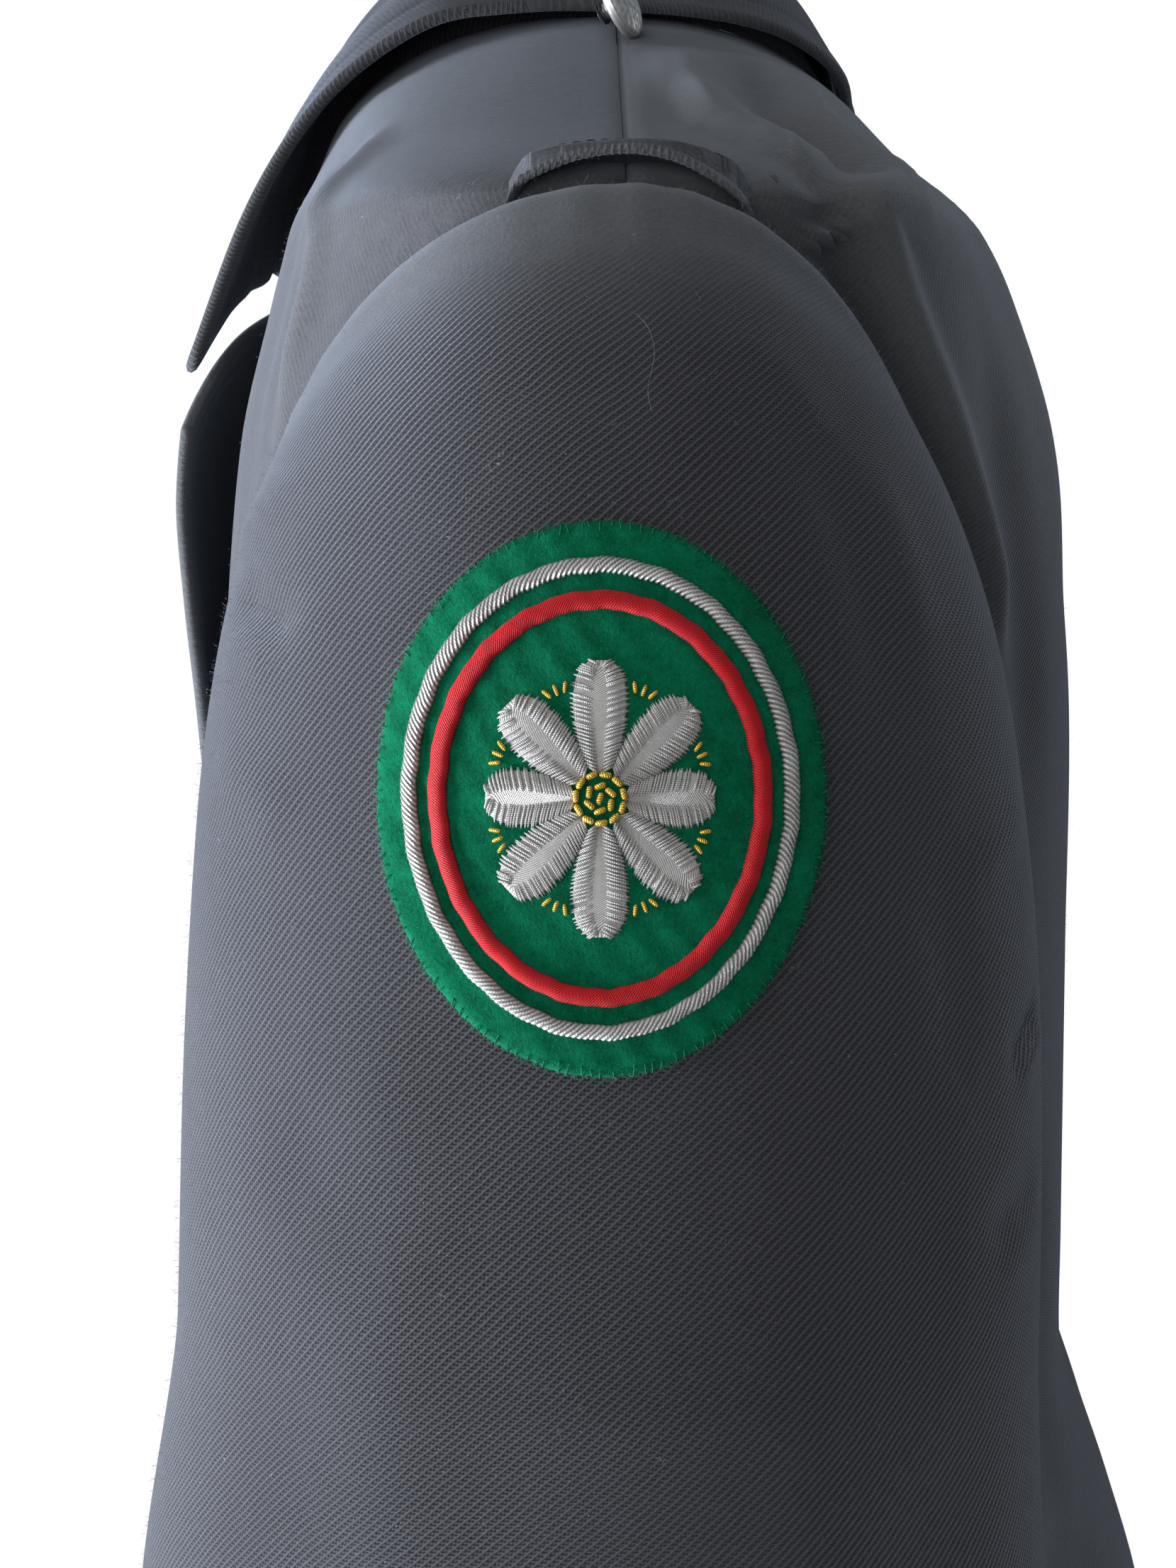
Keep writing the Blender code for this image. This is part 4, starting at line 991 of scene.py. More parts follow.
def tube(points, radius, sides=6, closed=False, taper=True, flat=1.0, up=None):
    """Points, faces and uv of a thread along a line."""
    p = np.asarray(points, float)
    d = np.gradient(p, axis=0) if not closed else np.roll(p, -1, 0) - np.roll(p, 1, 0)
    d = unit(d)
    ref = np.array([0.0, 0.0, 1.0]) if up is None else np.asarray(up, float)
    ref = np.broadcast_to(ref, p.shape)
    side = np.cross(d, ref)
    weak = np.linalg.norm(side, axis=1) < 0.1
    side[weak] = np.cross(d[weak], np.array([1.0, 0.0, 0.0]))
    side = unit(side)
    top = unit(np.cross(side, d))
    n = len(p)
    r = np.full(n, float(radius)) if np.ndim(radius) == 0 else np.asarray(radius, float)
    if taper and not closed:
        r = r.copy()
        r[0] *= 0.35
        r[-1] *= 0.35
    a = np.linspace(0, 2 * np.pi, sides, endpoint=False)
    ring = side[:, None, :] * np.cos(a)[None, :, None] + top[:, None, :] * (flat * np.sin(a))[None, :, None]
    pts = (p[:, None, :] + ring * r[:, None, None]).reshape(-1, 3)
    run = np.concatenate([[0], np.cumsum(np.linalg.norm(np.diff(p, axis=0), axis=1))])
    uv = np.stack(np.broadcast_arrays(run[:, None], (a * radius if np.ndim(radius) == 0 else a[None, :] * r[:, None]).reshape(-1, sides) if np.ndim(radius) else (a * radius)[None, :]), -1).reshape(-1, 2)
    faces = []
    for k in range(n if closed else n - 1):
        for j in range(sides):
            m, l = (k + 1) % n, (j + 1) % sides
            faces.append((k * sides + j, k * sides + l, m * sides + l, m * sides + j))
    if not closed:
        faces.append(tuple(reversed(range(sides))))
        faces.append(tuple((n - 1) * sides + j for j in range(sides)))
    return pts, faces, uv


def bundle(name, parts, looks, slots=None):
    """One object from many threads."""
    pts, faces, uvs, marks, base = [], [], [], [], 0
    for k, (p, f, uv) in enumerate(parts):
        pts.append(p)
        uvs.append(uv)
        faces.extend([tuple(v + base for v in face) for face in f])
        marks.extend([0 if slots is None else slots[k]] * len(f))
        base += len(p)
    return build(name, np.concatenate(pts), faces, looks, np.concatenate(uvs), None, marks)


def fluff(name, roots, normals, size, look, seed, stand=0.55, wide=0.000028):
    """Short loose fibres standing on a surface, each a thin bent blade with two faces."""
    r = np.random.default_rng(seed)
    n = len(roots)
    side = unit(np.cross(normals, r.normal(size=(n, 3))))
    way = unit(side * (1 - stand) * 1.4 + normals * stand * r.uniform(0.1, 1.3, (n, 1)))
    long = size * r.uniform(0.35, 1.25, (n, 1))
    bend = unit(np.cross(normals, side)) * long * r.uniform(-0.5, 0.5, (n, 1))
    across = unit(np.cross(way, normals + 0.3 * side)) * wide
    a = roots - normals * 0.00006
    b = roots + way * long * 0.5 + bend * 0.5
    c = roots + way * long + bend + normals * long * r.uniform(-0.25, 0.1, (n, 1))
    pts = np.stack([a - across, a + across, b - across, b + across, c], 1).reshape(-1, 3)
    k = np.arange(n)[:, None] * 5
    tris = np.concatenate([k + np.array([[0, 1, 3]]), k + np.array([[0, 3, 2]]), k + np.array([[2, 3, 4]])])
    return build(name, pts, tris, [look], np.zeros((len(pts), 2)))


# ---------------------------------------------------------------- the cloth pieces
def dip(distance, depth, width):
    """The valley of a seam, or the roundness of an edge, by distance from it."""
    return depth * np.clip(1 - distance / width, 0, 1) ** 2


def swollen(distance, size, width):
    """A thicker band by a turned edge."""
    return size * np.exp(-((distance / width) ** 2))


def arcs(p, start_col):
    """Flat cloth coordinates of a grid along each row, measured from one column."""
    across = np.concatenate([np.zeros((p.shape[0], 1)), np.cumsum(np.linalg.norm(np.diff(p, axis=1), axis=-1), 1)], 1)
    across = across - across[:, start_col:start_col + 1]
    return across


MANY = 1.0
pieces = {}


def count(n):
    return max(12, int(n * MANY))


def seam_ridge(distance, height, centre, width):
    return height * np.exp(-(((distance - centre) / width) ** 2))


def body_piece(kind, side):
    left = side == "left"
    if kind == "front":
        p, n = fine_front(count(104 if left else 66), count(200 if left else 140), left)
        creases = FRONTS + (LEFT_FRONT if left else RIGHT_FRONT)
    else:
        p, n = fine_back(count(100 if left else 62), count(210 if left else 140))
        creases = BACKS + (LEFT_BACK if left else RIGHT_BACK)
    # a row close to the shoulder seam keeps the seam from shading as a wide groove
    p[-2] = p[-1] + (p[-2] - p[-1]) * 0.05
    n[-2] = n[-1]
    d_arm, d_centre = edge_distance(p, "first"), edge_distance(p, "last")
    d_hem, d_neck = edge_distance(p, "top"), edge_distance(p, "bottom")
    z = p[..., 2]
    by_arm = (z > ARM_Z - ARM_HIGH - 0.001) & (z < ARM_Z + ARM_HIGH + 0.001)
    move = relief(p, n, creases) * ease(d_arm / 0.010) * ease(d_centre / 0.030)
    calm = ease((z + 0.70) / -0.05)
    move += swell(p, 26, 3 if left else 9, 0.0011) * ease(d_arm / 0.02) * ease(d_centre / 0.03)
    move += swell(p, 60, 5 if left else 12, 0.00045) * ease(d_arm / 0.02) * ease(d_centre / 0.02)
    # hem hangs a little in and out
    hang = ease((-0.60 - z) / 0.14) * ease(d_centre / 0.05)
    x, y = p[..., 0], p[..., 1]
    move += hang * 0.0022 * np.sin(np.arctan2(y, x) * 9 + (0.4 if left else 1.7)) * ease(d_arm / 0.03)
    # seams: a soft valley at the join and the allowance's ridge beside it
    soft = ease((z + 0.150) / 0.030) if kind == "front" else 0.0
    move -= dip(d_arm, 0.0007, 0.0016) * (1 - 0.8 * soft)
    move += seam_ridge(d_arm, 0.00040, 0.0042, 0.0022) * (0.6 + 0.4 * by_arm) * (1 - 0.7 * soft)
    over = ease((np.abs(x) - 0.078) / 0.010) * (1 - ease(d_neck / 0.0120))
    move += over * (0.00020 * np.sin(x * 2 * np.pi / 0.0085 + 1.2 * np.sin(x * 170)) - 0.00018 * np.exp(-((d_neck / 0.0012) ** 2)))
    lean = unit(p[-1] - p[-2])[None] * (0.00040 * (1 - ease(d_neck / 0.0035)) * ease((np.abs(x) - 0.074) / 0.006))[..., None]
    p = p + lean
    if kind == "back":
        move -= dip(d_centre, 0.0007, 0.0016)
        move += seam_ridge(d_centre, 0.00025, 0.0045, 0.0024)
    hem = swollen(d_hem, 0.0004, 0.014) - 0.00025 * np.exp(-(((d_hem - 0.030) / 0.0010) ** 2))
    thick = swollen(d_hem, 0.0007, 0.010)
    if kind == "front":
        thick = thick + swollen(d_centre, 0.0006, 0.007)
        hem = hem - 0.00022 * np.exp(-(((d_centre - 0.0065) / 0.0007) ** 2))
    # the neck edge lies under the collar
    outer = p + n * (move + hem)[..., None]
    inner = p + n * (move - WALL - thick)[..., None]
    across = arcs(p, 0)
    uv = np.stack([across - across[:, -1:], z * 1.0], -1)
    # the felted shoulder is mottled, and fades into the ribbed chest and back
    mottle = swell(p, 46, 43, 1.0) + swell(p, 110, 47, 0.6)
    shoulder = np.clip(ease((z + 0.165) / 0.130) + 0.20 * mottle * ease((z + 0.20) / 0.06), 0, 1)
    nap = 0.42 + 0.50 * shoulder
    # paler felted grey: real wear over the shoulders, along the hem and along the front edge, and a painted highlight
    # on the crest of each raised crease
    lit = relief(p, n, [c for c in creases if c[2] > 0])
    wear_and_painted_light = np.clip(0.10 + (0.36 if kind == "front" else 0.74) * shoulder + lit / 0.004 * 0.35 + swollen(d_hem, 0.3, 0.003) + (swollen(d_centre, 0.35, 0.003) if kind == "front" else 0), 0, 1)
    tight = 0.00012
    bulge = (0.0012, tight, tight, 0.0012 if kind == "front" else 0.00034)
    ob = shell(kind + "_cloth_" + side, outer, inner, uv, [CLOTH, LINING], {"nap": nap, "wear_and_painted_light": wear_and_painted_light}, bulge, mirror=not left)
    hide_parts(kind + "_" + side)
    pieces[kind + "_" + side] = ob
    return ob


# sleeves
def sleeve_move(p, n, psi, t, side):
    """How far the sleeve's cloth stands off its plain form."""
    left = side == "left"
    creases = ELBOW + (LEFT_SLEEVE if left else RIGHT_SLEEVE)
    start = ease(t / 0.16)
    move = relief(p, n, creases) * start
    move += swell(p, 30, 21 if left else 33, 0.0010) * start
    move += swell(p, 75, 25 if left else 37, 0.00035) * start
    # the sleeve head is eased in over a ridge of allowance
    top = 0.5 + 0.5 * np.cos(np.clip(psi, -2.2, 2.2))
    move += 0.0009 * np.exp(-(((t - 0.05) / 0.045) ** 2)) * (0.4 + 0.6 * top)
    pucker = np.sin(psi * 38 + 1.3 * np.sin(psi * 7)) * (0.5 + 0.5 * np.sin(psi * 5 + 1))
    move += 0.00022 * pucker * np.exp(-(((t - 0.07) / 0.07) ** 2))
    return move


def sleeve_piece(kind, side):
    left = side == "left"
    first, last, cols = (FRONT_SEAM, BACK_SEAM, 136) if kind == "upper" else (BACK_SEAM, RING + FRONT_SEAM, 60)
    if kind == "upper" and not left:
        cols = 84
    p, n, psi, t = fine_sleeve(first, last, count(cols), count(250 if left and kind == "upper" else 130))
    around = np.where(psi > math.pi, psi - 2 * math.pi, psi)
    move = sleeve_move(p, n, around, t, side)
    d_arm, d_cuff = edge_distance(p, "top"), edge_distance(p, "bottom")
    d_a, d_b = edge_distance(p, "first"), edge_distance(p, "last")
    forward = ease((0.6 - around) / 0.8) * ease((p[..., 2] + 0.165) / 0.040)
    move -= dip(d_arm, 0.0008, 0.0018) * (1 - 0.75 * forward)
    crown = ease((p[..., 2] + 0.105) / 0.040)
    move += 0.0019 * crown * np.exp(-(((d_arm - 0.0085) / 0.0075) ** 2))
    for d in (d_a, d_b):
        move -= dip(d, 0.0006, 0.0015) * ease(d_arm / 0.004)
        move += seam_ridge(d, 0.00028, 0.0040, 0.0022)
    cuff = swollen(d_cuff, 0.0004, 0.012) - 0.00025 * np.exp(-(((d_cuff - 0.030) / 0.0010) ** 2))
    outer = p + n * (move + cuff)[..., None]
    inner = p + n * (move - WALL - swollen(d_cuff, 0.0007, 0.010))[..., None]
    down = np.concatenate([np.zeros((1, p.shape[1])), np.cumsum(np.linalg.norm(np.diff(p, axis=0), axis=-1), 0)], 0)
    at_biceps = int(np.argmin(np.abs(t[:, 0] - 1.0)))
    down = -(down - down[at_biceps:at_biceps + 1])
    uv = np.stack([psi * 0.0665, down], -1)
    high = ease((p[..., 2] + 0.088) / 0.026)
    edge = np.exp(-(((t - 0.06) / 0.05) ** 2))
    felted = forward * (1 - ease((d_arm - 0.004) / 0.034))
    nap = np.clip(0.10 + 0.62 * high + 0.25 * edge * (p[..., 2] > -0.11) + 0.85 * felted + 0.30 * ease((around - 0.75) / 0.5), 0, 1)
    wear_and_painted_light = np.clip(0.10 + 0.36 * high + 0.66 * felted + swollen(d_cuff, 0.4, 0.004) + 0.15 * ease((-0.30 - p[..., 2]) / 0.1) * 0.3, 0, 1)
    tight = 0.00012
    ob = shell(kind + "_sleeve_cloth_" + side, outer, inner, uv, [CLOTH, LINING], {"nap": nap, "wear_and_painted_light": wear_and_painted_light}, (tight, 0.0012, tight, tight), mirror=not left)
    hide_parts(kind + "_sleeve_" + side)
    pieces[kind + "_sleeve_" + side] = ob
    return outer, n, psi, t


def lapel_piece(side):
    left = side == "left"
    cols, rows = count(48), count(100)
    a, b = np.meshgrid(spread(cols, 0.6), spread(rows, 0.5))
    p = lapel(a, b, left)
    e = 1e-3
    n = unit(np.cross(lapel(a + e, b, left) - lapel(a - e, b, left), lapel(a, b + e, left) - lapel(a, b - e, left)))
    n = n * -np.sign(n[..., 1:2])
    d_roll, d_edge = edge_distance(p, "first"), edge_distance(p, "last")
    d_low, d_top = edge_distance(p, "top"), edge_distance(p, "bottom")
    near = np.minimum(d_edge, d_top)
    # slow unevenness, a narrow groove about 6 mm inside the outer edge and the top, and a thicker band along them
    move = swell(p, 40, 41 if left else 44, 0.0006)
    move = move - 0.00035 * np.exp(-(((near - 0.0058) / 0.0008) ** 2)) + swollen(near, 0.0003, 0.004)
    thick = swollen(near, 0.0008, 0.007) + 0.0003
    outer = p + n * move[..., None]
    inner = p + n * (move - WALL - thick)[..., None]
    uv = np.stack([arcs(p, 0), p[..., 2]], -1)
    nap = np.full(a.shape, 0.62)
    wear_and_painted_light = np.clip(0.20 + swollen(near, 0.5, 0.003), 0, 1)
    ob = shell("lapel_cloth_" + side, outer, inner, uv, [CLOTH, CLOTH], {"nap": nap, "wear_and_painted_light": wear_and_painted_light}, (0.0010, 0.0012, 0.0009, 0.0014), mirror=not left)
    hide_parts("lapel_" + side)
    pieces["lapel_" + side] = ob


def collar_piece():
    coarse, _ = collar_wall(25)
    p = finer(coarse, count(200), count(66))
    # the stand's sewn edge turns down inside the neck edge, where the shoulder meets it
    d_in = edge_distance(p, "first")
    for k, s in enumerate(np.linspace(-1, 1, p.shape[0])):
        a = abs(s)
        if a < 0.40:
            continue
        z = float(smooth([(0.5, NECK_POINT_Z)] + [(row[0], row[1]) for row in COLLAR[4:]], 1, max(a, 0.5)))
        th = -theta_at_x(float(smooth(FRONT_EDGE, 1, z)), z)
        n0 = torso_normal(np.array([th]), np.array([z]))[0]
        at = torso(np.array([th]), np.array([z]))[0]
        toward = unit(np.array([-at[0], -0.010 - at[1], 0.0]))
        flip = np.array([-1 if s < 0 else 1, 1, 1])
        share = ease((a - 0.42) / 0.14)
        reach = (1 - ease(d_in[k] / 0.016))[:, None]
        p[k] += reach * share * (n0 * flip * -0.0062 + toward * flip * 0.0032)
    n = surface_normal(p)
    mid = p[p.shape[0] // 2, int(p.shape[1] * 0.7)]
    if np.dot(n[p.shape[0] // 2, int(p.shape[1] * 0.7)], np.array([0, 1, 0.4])) < 0:
        n = -n
    d_seam, d_edge = edge_distance(p, "first"), edge_distance(p, "last")
    d_end = np.minimum(edge_distance(p, "top"), edge_distance(p, "bottom"))
    near = np.minimum(d_edge, d_end)
    fall = ease((d_seam - 0.030) / 0.010)
    move = swell(p, 32, 51, 0.0008) * fall
    move = move - 0.00040 * np.exp(-(((near - 0.0062) / 0.0009) ** 2)) * fall + swollen(near, 0.0005, 0.0045) * fall
    thick = swollen(near, 0.0013, 0.0065) * fall
    outer = p + n * move[..., None]
    inner = p + n * (move - WALL * 1.1 - thick)[..., None]
    uv = np.stack([np.concatenate([np.zeros((1, p.shape[1])), np.cumsum(np.linalg.norm(np.diff(p, axis=0), axis=-1), 0)], 0), -arcs(p, 0)], -1)
    nap = np.full(d_seam.shape, 0.50)
    # no wear away from the edges, so the collar stays darker than the other pieces: painted shade that holds back the
    # key light falling straight on its leaf; the paler band along the edges is wear
    wear_and_painted_light = np.clip(swollen(near, 0.34, 0.002), 0, 1)
    ob = shell("collar_cloth", outer, inner, uv, [CLOTH, CLOTH], {"nap": nap, "wear_and_painted_light": wear_and_painted_light}, (0.0018, 0.0018, 0.0004, 0.0021), layers=4)
    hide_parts("collar")
    pieces["collar"] = ob


for side in ("left", "right"):
    body_piece("front", side)
    body_piece("back", side)
    grid = sleeve_piece("upper", side)
    if side == "left":
        left_sleeve = grid
    sleeve_piece("under", side)
    lapel_piece(side)
collar_piece()


# ---------------------------------------------------------------- shoulder loops
LOOP_HALF, LOOP_WIDE, LOOP_RISE, LOOP_THICK = 0.0270, 0.0110, 0.0038, 0.0018


def loop_points(v, across):
    """v from -1 to 1 along the bar, across from 0 at the neck side to 1 at the sleeve side."""
    y = LOOP_HALF * v + 0.0010
    x = SHOULDER_X - 0.0105 + LOOP_WIDE * across
    low, high = np.full(np.shape(y + x), -0.12), np.full(np.shape(y + x), 0.004)
    for _ in range(40):
        mid = (low + high) / 2
        w, depth, n = form_sizes(y > 0, mid)
        inside = (x / w) ** n + (np.abs(y) / depth) ** n < 1
        low, high = np.where(inside, mid, low), np.where(inside, high, mid)
    head = -0.0535 - np.where(y > 0, 0.0115 * across, 0.0070) * (y / LOOP_HALF) ** 2
    over = np.clip(head - high, 0, 0.0035)
    high = np.maximum(high, head)
    rise = LOOP_RISE * (1 - np.abs(v) ** 2.2)
    up = np.array([0.36, 0.0, 0.93])
    p = np.stack([x + 0 * y, y + 0 * x, high], -1)
    lift = 0.0012 + 0.0015 * np.maximum(v, 0) ** 6
    return p + up * (rise + lift)[..., None], up, over


def loop_piece(side):
    left = side == "left"
    rows, cols = count(300 if left else 160), 18
    v, across = np.meshgrid(np.linspace(-1, 1, rows), spread(cols, 0.6), indexing="ij")
    base, up, over = loop_points(v, across)
    # the side towards the neck and both ends sink into the shoulder, where the bar is sewn down
    free = ease((across + 0.02 - 0.84 * ease((np.abs(v) - 0.66) / 0.34)) / 0.86)
    base = base - up * ((LOOP_RISE * (1 - np.abs(v) ** 2.2) + 0.0016 + LOOP_THICK + 0.0010 * ease((np.abs(v) - 0.5) / 0.5) + 0.9 * over) * (1 - free))[..., None]
    run = v * LOOP_HALF
    # corded edges: a padded band and a groove along both long edges, and the folded ribs show as beads along the
    # sleeve-side edge
    edge = np.minimum(across, 1 - across) * LOOP_WIDE
    bead = (0.5 + 0.5 * np.sin(run * 2 * np.pi / 0.00122)) * np.exp(-(((1 - across) * LOOP_WIDE / 0.0008) ** 2)) * 0.00034
    pad = 0.0004 * np.exp(-(((edge - 0.0016) / 0.0014) ** 2)) - 0.00030 * np.exp(-(((edge - 0.0034) / 0.0006) ** 2))
    outer = base + up * (LOOP_THICK - 0.0002 + bead + pad + 0.0002 * np.sin(run * 210))[..., None]
    inner = base + up * (0.0002 - bead * 0.6)[..., None]
    uv = np.stack([run, arcs(base, 0)], -1)
    nap = np.clip(1.0 - 0.5 * ease((across - 0.86) / 0.14), 0, 1)
    wear_and_painted_light = np.clip(0.24 + 0.60 * np.exp(-(((1 - across) * LOOP_WIDE / 0.0010) ** 2)), 0, 1)
    ob = shell("loop_cloth_" + side, outer, inner, uv, [CLOTH, CLOTH], {"nap": nap, "wear_and_painted_light": wear_and_painted_light}, (0.0007, 0.0007, 0.0006, 0.0008), mirror=not left)
    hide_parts("loop_" + side)
    pieces["loop_" + side] = ob
    # top-stitching
    threads = []
    r = np.random.default_rng(61 if left else 62)
    for share, first, last in ((0.74, -0.70, 0.70),):
        s = first
        while s < last:
            long = 0.0019 / LOOP_HALF
            vv = np.linspace(s, s + long, 6)
            on = share + r.uniform(-0.015, 0.015)
            q, _, over = loop_points(vv, np.full(6, on))
            free = ease((on + 0.02 - 0.84 * ease((np.abs(vv) - 0.66) / 0.34)) / 0.86)
            q = q - up * ((LOOP_RISE * (1 - np.abs(vv) ** 2.2) + 0.0016 + LOOP_THICK + 0.0010 * ease((np.abs(vv) - 0.5) / 0.5) + 0.9 * over) * (1 - free))[:, None]
            arch = np.sin(np.linspace(0, np.pi, 6))
            threads.append(tube(q + up * (LOOP_THICK - 0.00030 + 0.00016 * arch)[:, None], 0.00012, 5))
            s += long + 0.0007 / LOOP_HALF
    for p, f, w in threads:
        if not left:
            p[:, 0] *= -1
    ob3 = bundle("loop_stitches_" + side, threads, [DARK_THREAD])


for side in ("left", "right"):
    loop_piece(side)


# ---------------------------------------------------------------- buttons
def button(name, radius, shank, place, axis, look, seed, mirror=False, rows=40, cols=88):
    """A domed button with a hammered, pebbled face, a rolled rim and a shank."""
    rows, cols = count(rows), count(cols)
    rise = radius * 0.42
    r = np.random.default_rng(seed)
    a = np.linspace(0, 2 * np.pi, cols, endpoint=False)
    s = np.linspace(0.02, 1, rows) * np.pi / 2
    rad = radius * np.sin(s)[:, None] + 0 * a
    high = shank + 0.0016 + rise * np.cos(s)[:, None] + 0 * a
    x, y = rad * np.cos(a), rad * np.sin(a)
    bump = np.zeros_like(x)
    for _ in range(26):
        d = r.normal(size=2)
        d = d / np.linalg.norm(d) * r.uniform(2200, 5200)
        bump += np.sin(x * d[0] + y * d[1] + r.uniform(0, 6.28))
    bump = bump / 26 * 3.0
    worms = np.clip(bump, -1, 1)
    face = 1 - ease((s[:, None] / (np.pi / 2) - 0.86) / 0.08)
    rim = 0.00020 * np.exp(-(((s[:, None] / (np.pi / 2) - 0.93) / 0.035) ** 2))
    high = high + worms * 0.00012 * face + rim
    hollow = np.clip(0.5 - worms, 0, 1) * face * 0.8 + 0.5 * np.exp(-(((s[:, None] / (np.pi / 2) - 0.87) / 0.02) ** 2))
    rings = [(x, y, high, hollow)]
    for rr, hh, dark in ((1.012, 0.0014, 0.2), (1.0, 0.0007, 0.3), (0.93, 0.0002, 0.7), (0.5, 0.0, 0.9), (0.26, -0.0003, 0.9), (0.235, -0.0012, 0.5)):
        rings.append((radius * rr * np.cos(a)[None], radius * rr * np.sin(a)[None], np.full((1, cols), shank + hh), np.full((1, cols), dark)))
    rings.append((0.0020 * np.cos(a)[None], 0.0020 * np.sin(a)[None], np.full((1, cols), 0.0), np.full((1, cols), 0.6)))
    x = np.concatenate([q[0] for q in rings])
    y = np.concatenate([q[1] for q in rings])
    h = np.concatenate([q[2] for q in rings])
    dark = np.concatenate([np.broadcast_to(q[3], q[0].shape) for q in rings])
    pts = np.stack([x, y, h], -1).reshape(-1, 3)
    m = x.shape[0]
    pts = np.concatenate([pts, [[0, 0, high[0, 0]], [0, 0, 0.0]]])
    faces = []
    for k in range(m - 1):
        for j in range(cols):
            l = (j + 1) % cols
            faces.append((k * cols + j, (k + 1) * cols + j, (k + 1) * cols + l, k * cols + l))
    top, bottom = m * cols, m * cols + 1
    for j in range(cols):
        l = (j + 1) % cols
        faces.append((top, j, l))
        faces.append((bottom, (m - 1) * cols + l, (m - 1) * cols + j))
    centre, axis = np.array(place, float), unit(np.array(axis, float))
    side = unit(np.cross(axis, np.array([0.0, 1.0, 0.0]) if abs(axis[1]) < 0.8 else np.array([1.0, 0.0, 0.0])))
    other = np.cross(axis, side)
    world = centre + pts[:, :1] * side + pts[:, 1:2] * other + pts[:, 2:3] * axis
    if mirror:
        world = world * np.array([-1, 1, 1])
        faces = [tuple(reversed(f)) for f in faces]
    ob = build(name, world, faces, [look], np.zeros((len(world), 2)), {"hollow": np.concatenate([dark.reshape(-1), [0.2, 0.6]])})
    # sewing thread round the shank
    wraps = []
    turns = np.linspace(0, 2 * np.pi * 5, 90)
    q = centre + (side[None] * np.cos(turns)[:, None] + other[None] * np.sin(turns)[:, None]) * (0.0024 + 0.00025 * np.sin(turns * 1.7))[:, None] + axis[None] * np.linspace(0.0002, 0.0016, 90)[:, None]
    p, f, w = tube(q, 0.00022, 5)
    if mirror:
        p = p * np.array([-1, 1, 1])
    wraps.append((p, f, w))
    ob2 = bundle(name + "_thread", wraps, [DARK_THREAD])
    return ob


for k in range(4):
    z = -0.292 - 0.088 * k
    th = -theta_at_x(0.0, z)
    p = torso(np.array([th]), np.array([z]))[0]
    n = torso_normal(np.array([th]), np.array([z]))[0]
    ob = button("button_front_face_%d" % (k + 1), BUTTON_FRONT_R, 0.0022, p + n * (LAP_LIFT + 0.0005), n, PEWTER, 70 + k)
    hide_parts("button_front_%d" % (k + 1))
for side, mirror in (("left", False), ("right", True)):
    ob = button("button_shoulder_face_" + side, BUTTON_SHOULDER_R, 0.0040, (0.1017, -0.0041, 0.0004), (0.35, 0.82, 0.38), PEWTER, 80, mirror)
    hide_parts("button_shoulder_" + side)


# ---------------------------------------------------------------- sleeve patch
def on_patch(y, z, lift):
    """A point over the left sleeve's creased cloth, with its normal."""
    y, z = np.asarray(y, float), np.asarray(z, float)
    psi, t = on_sleeve(y, z)
    p, n = sleeve(psi, t), sleeve_normal(psi, t)
    move = sleeve_move(p, n, psi, t, "left")
    return p + n * (move + np.asarray(lift))[..., None], n


class PatchMap:
    """The same, read from a table of points, for the many small threads."""

    def __init__(self):
        self.y = np.linspace(PATCH_Y - 0.041, PATCH_Y + 0.041, 165)
        self.z = np.linspace(PATCH_Z - 0.048, PATCH_Z + 0.048, 193)
        yy, zz = np.meshgrid(self.y, self.z, indexing="ij")
        self.p, self.n = on_patch(yy, zz, np.zeros(yy.shape))

    def at(self, y, z, lift):
        y, z = np.asarray(y, float), np.asarray(z, float)
        fy = np.clip((y - self.y[0]) / (self.y[1] - self.y[0]), 0, len(self.y) - 1.001)
        fz = np.clip((z - self.z[0]) / (self.z[1] - self.z[0]), 0, len(self.z) - 1.001)
        i, j = fy.astype(int), fz.astype(int)
        a, b = (fy - i)[..., None], (fz - j)[..., None]
        out = []
        for g in (self.p, self.n):
            out.append((1 - a) * (1 - b) * g[i, j] + a * (1 - b) * g[i + 1, j] + (1 - a) * b * g[i, j + 1] + a * b * g[i + 1, j + 1])
        return out[0] + unit(out[1]) * np.asarray(lift, float)[..., None], unit(out[1])


MAP = PatchMap()
FELT_LOW, FELT_HIGH = 0.0002, 0.0021


def oval(radial, angle):
    return PATCH_Y + PATCH_HALF_W * radial * np.sin(angle), PATCH_Z + PATCH_HALF_H * radial * np.cos(angle)


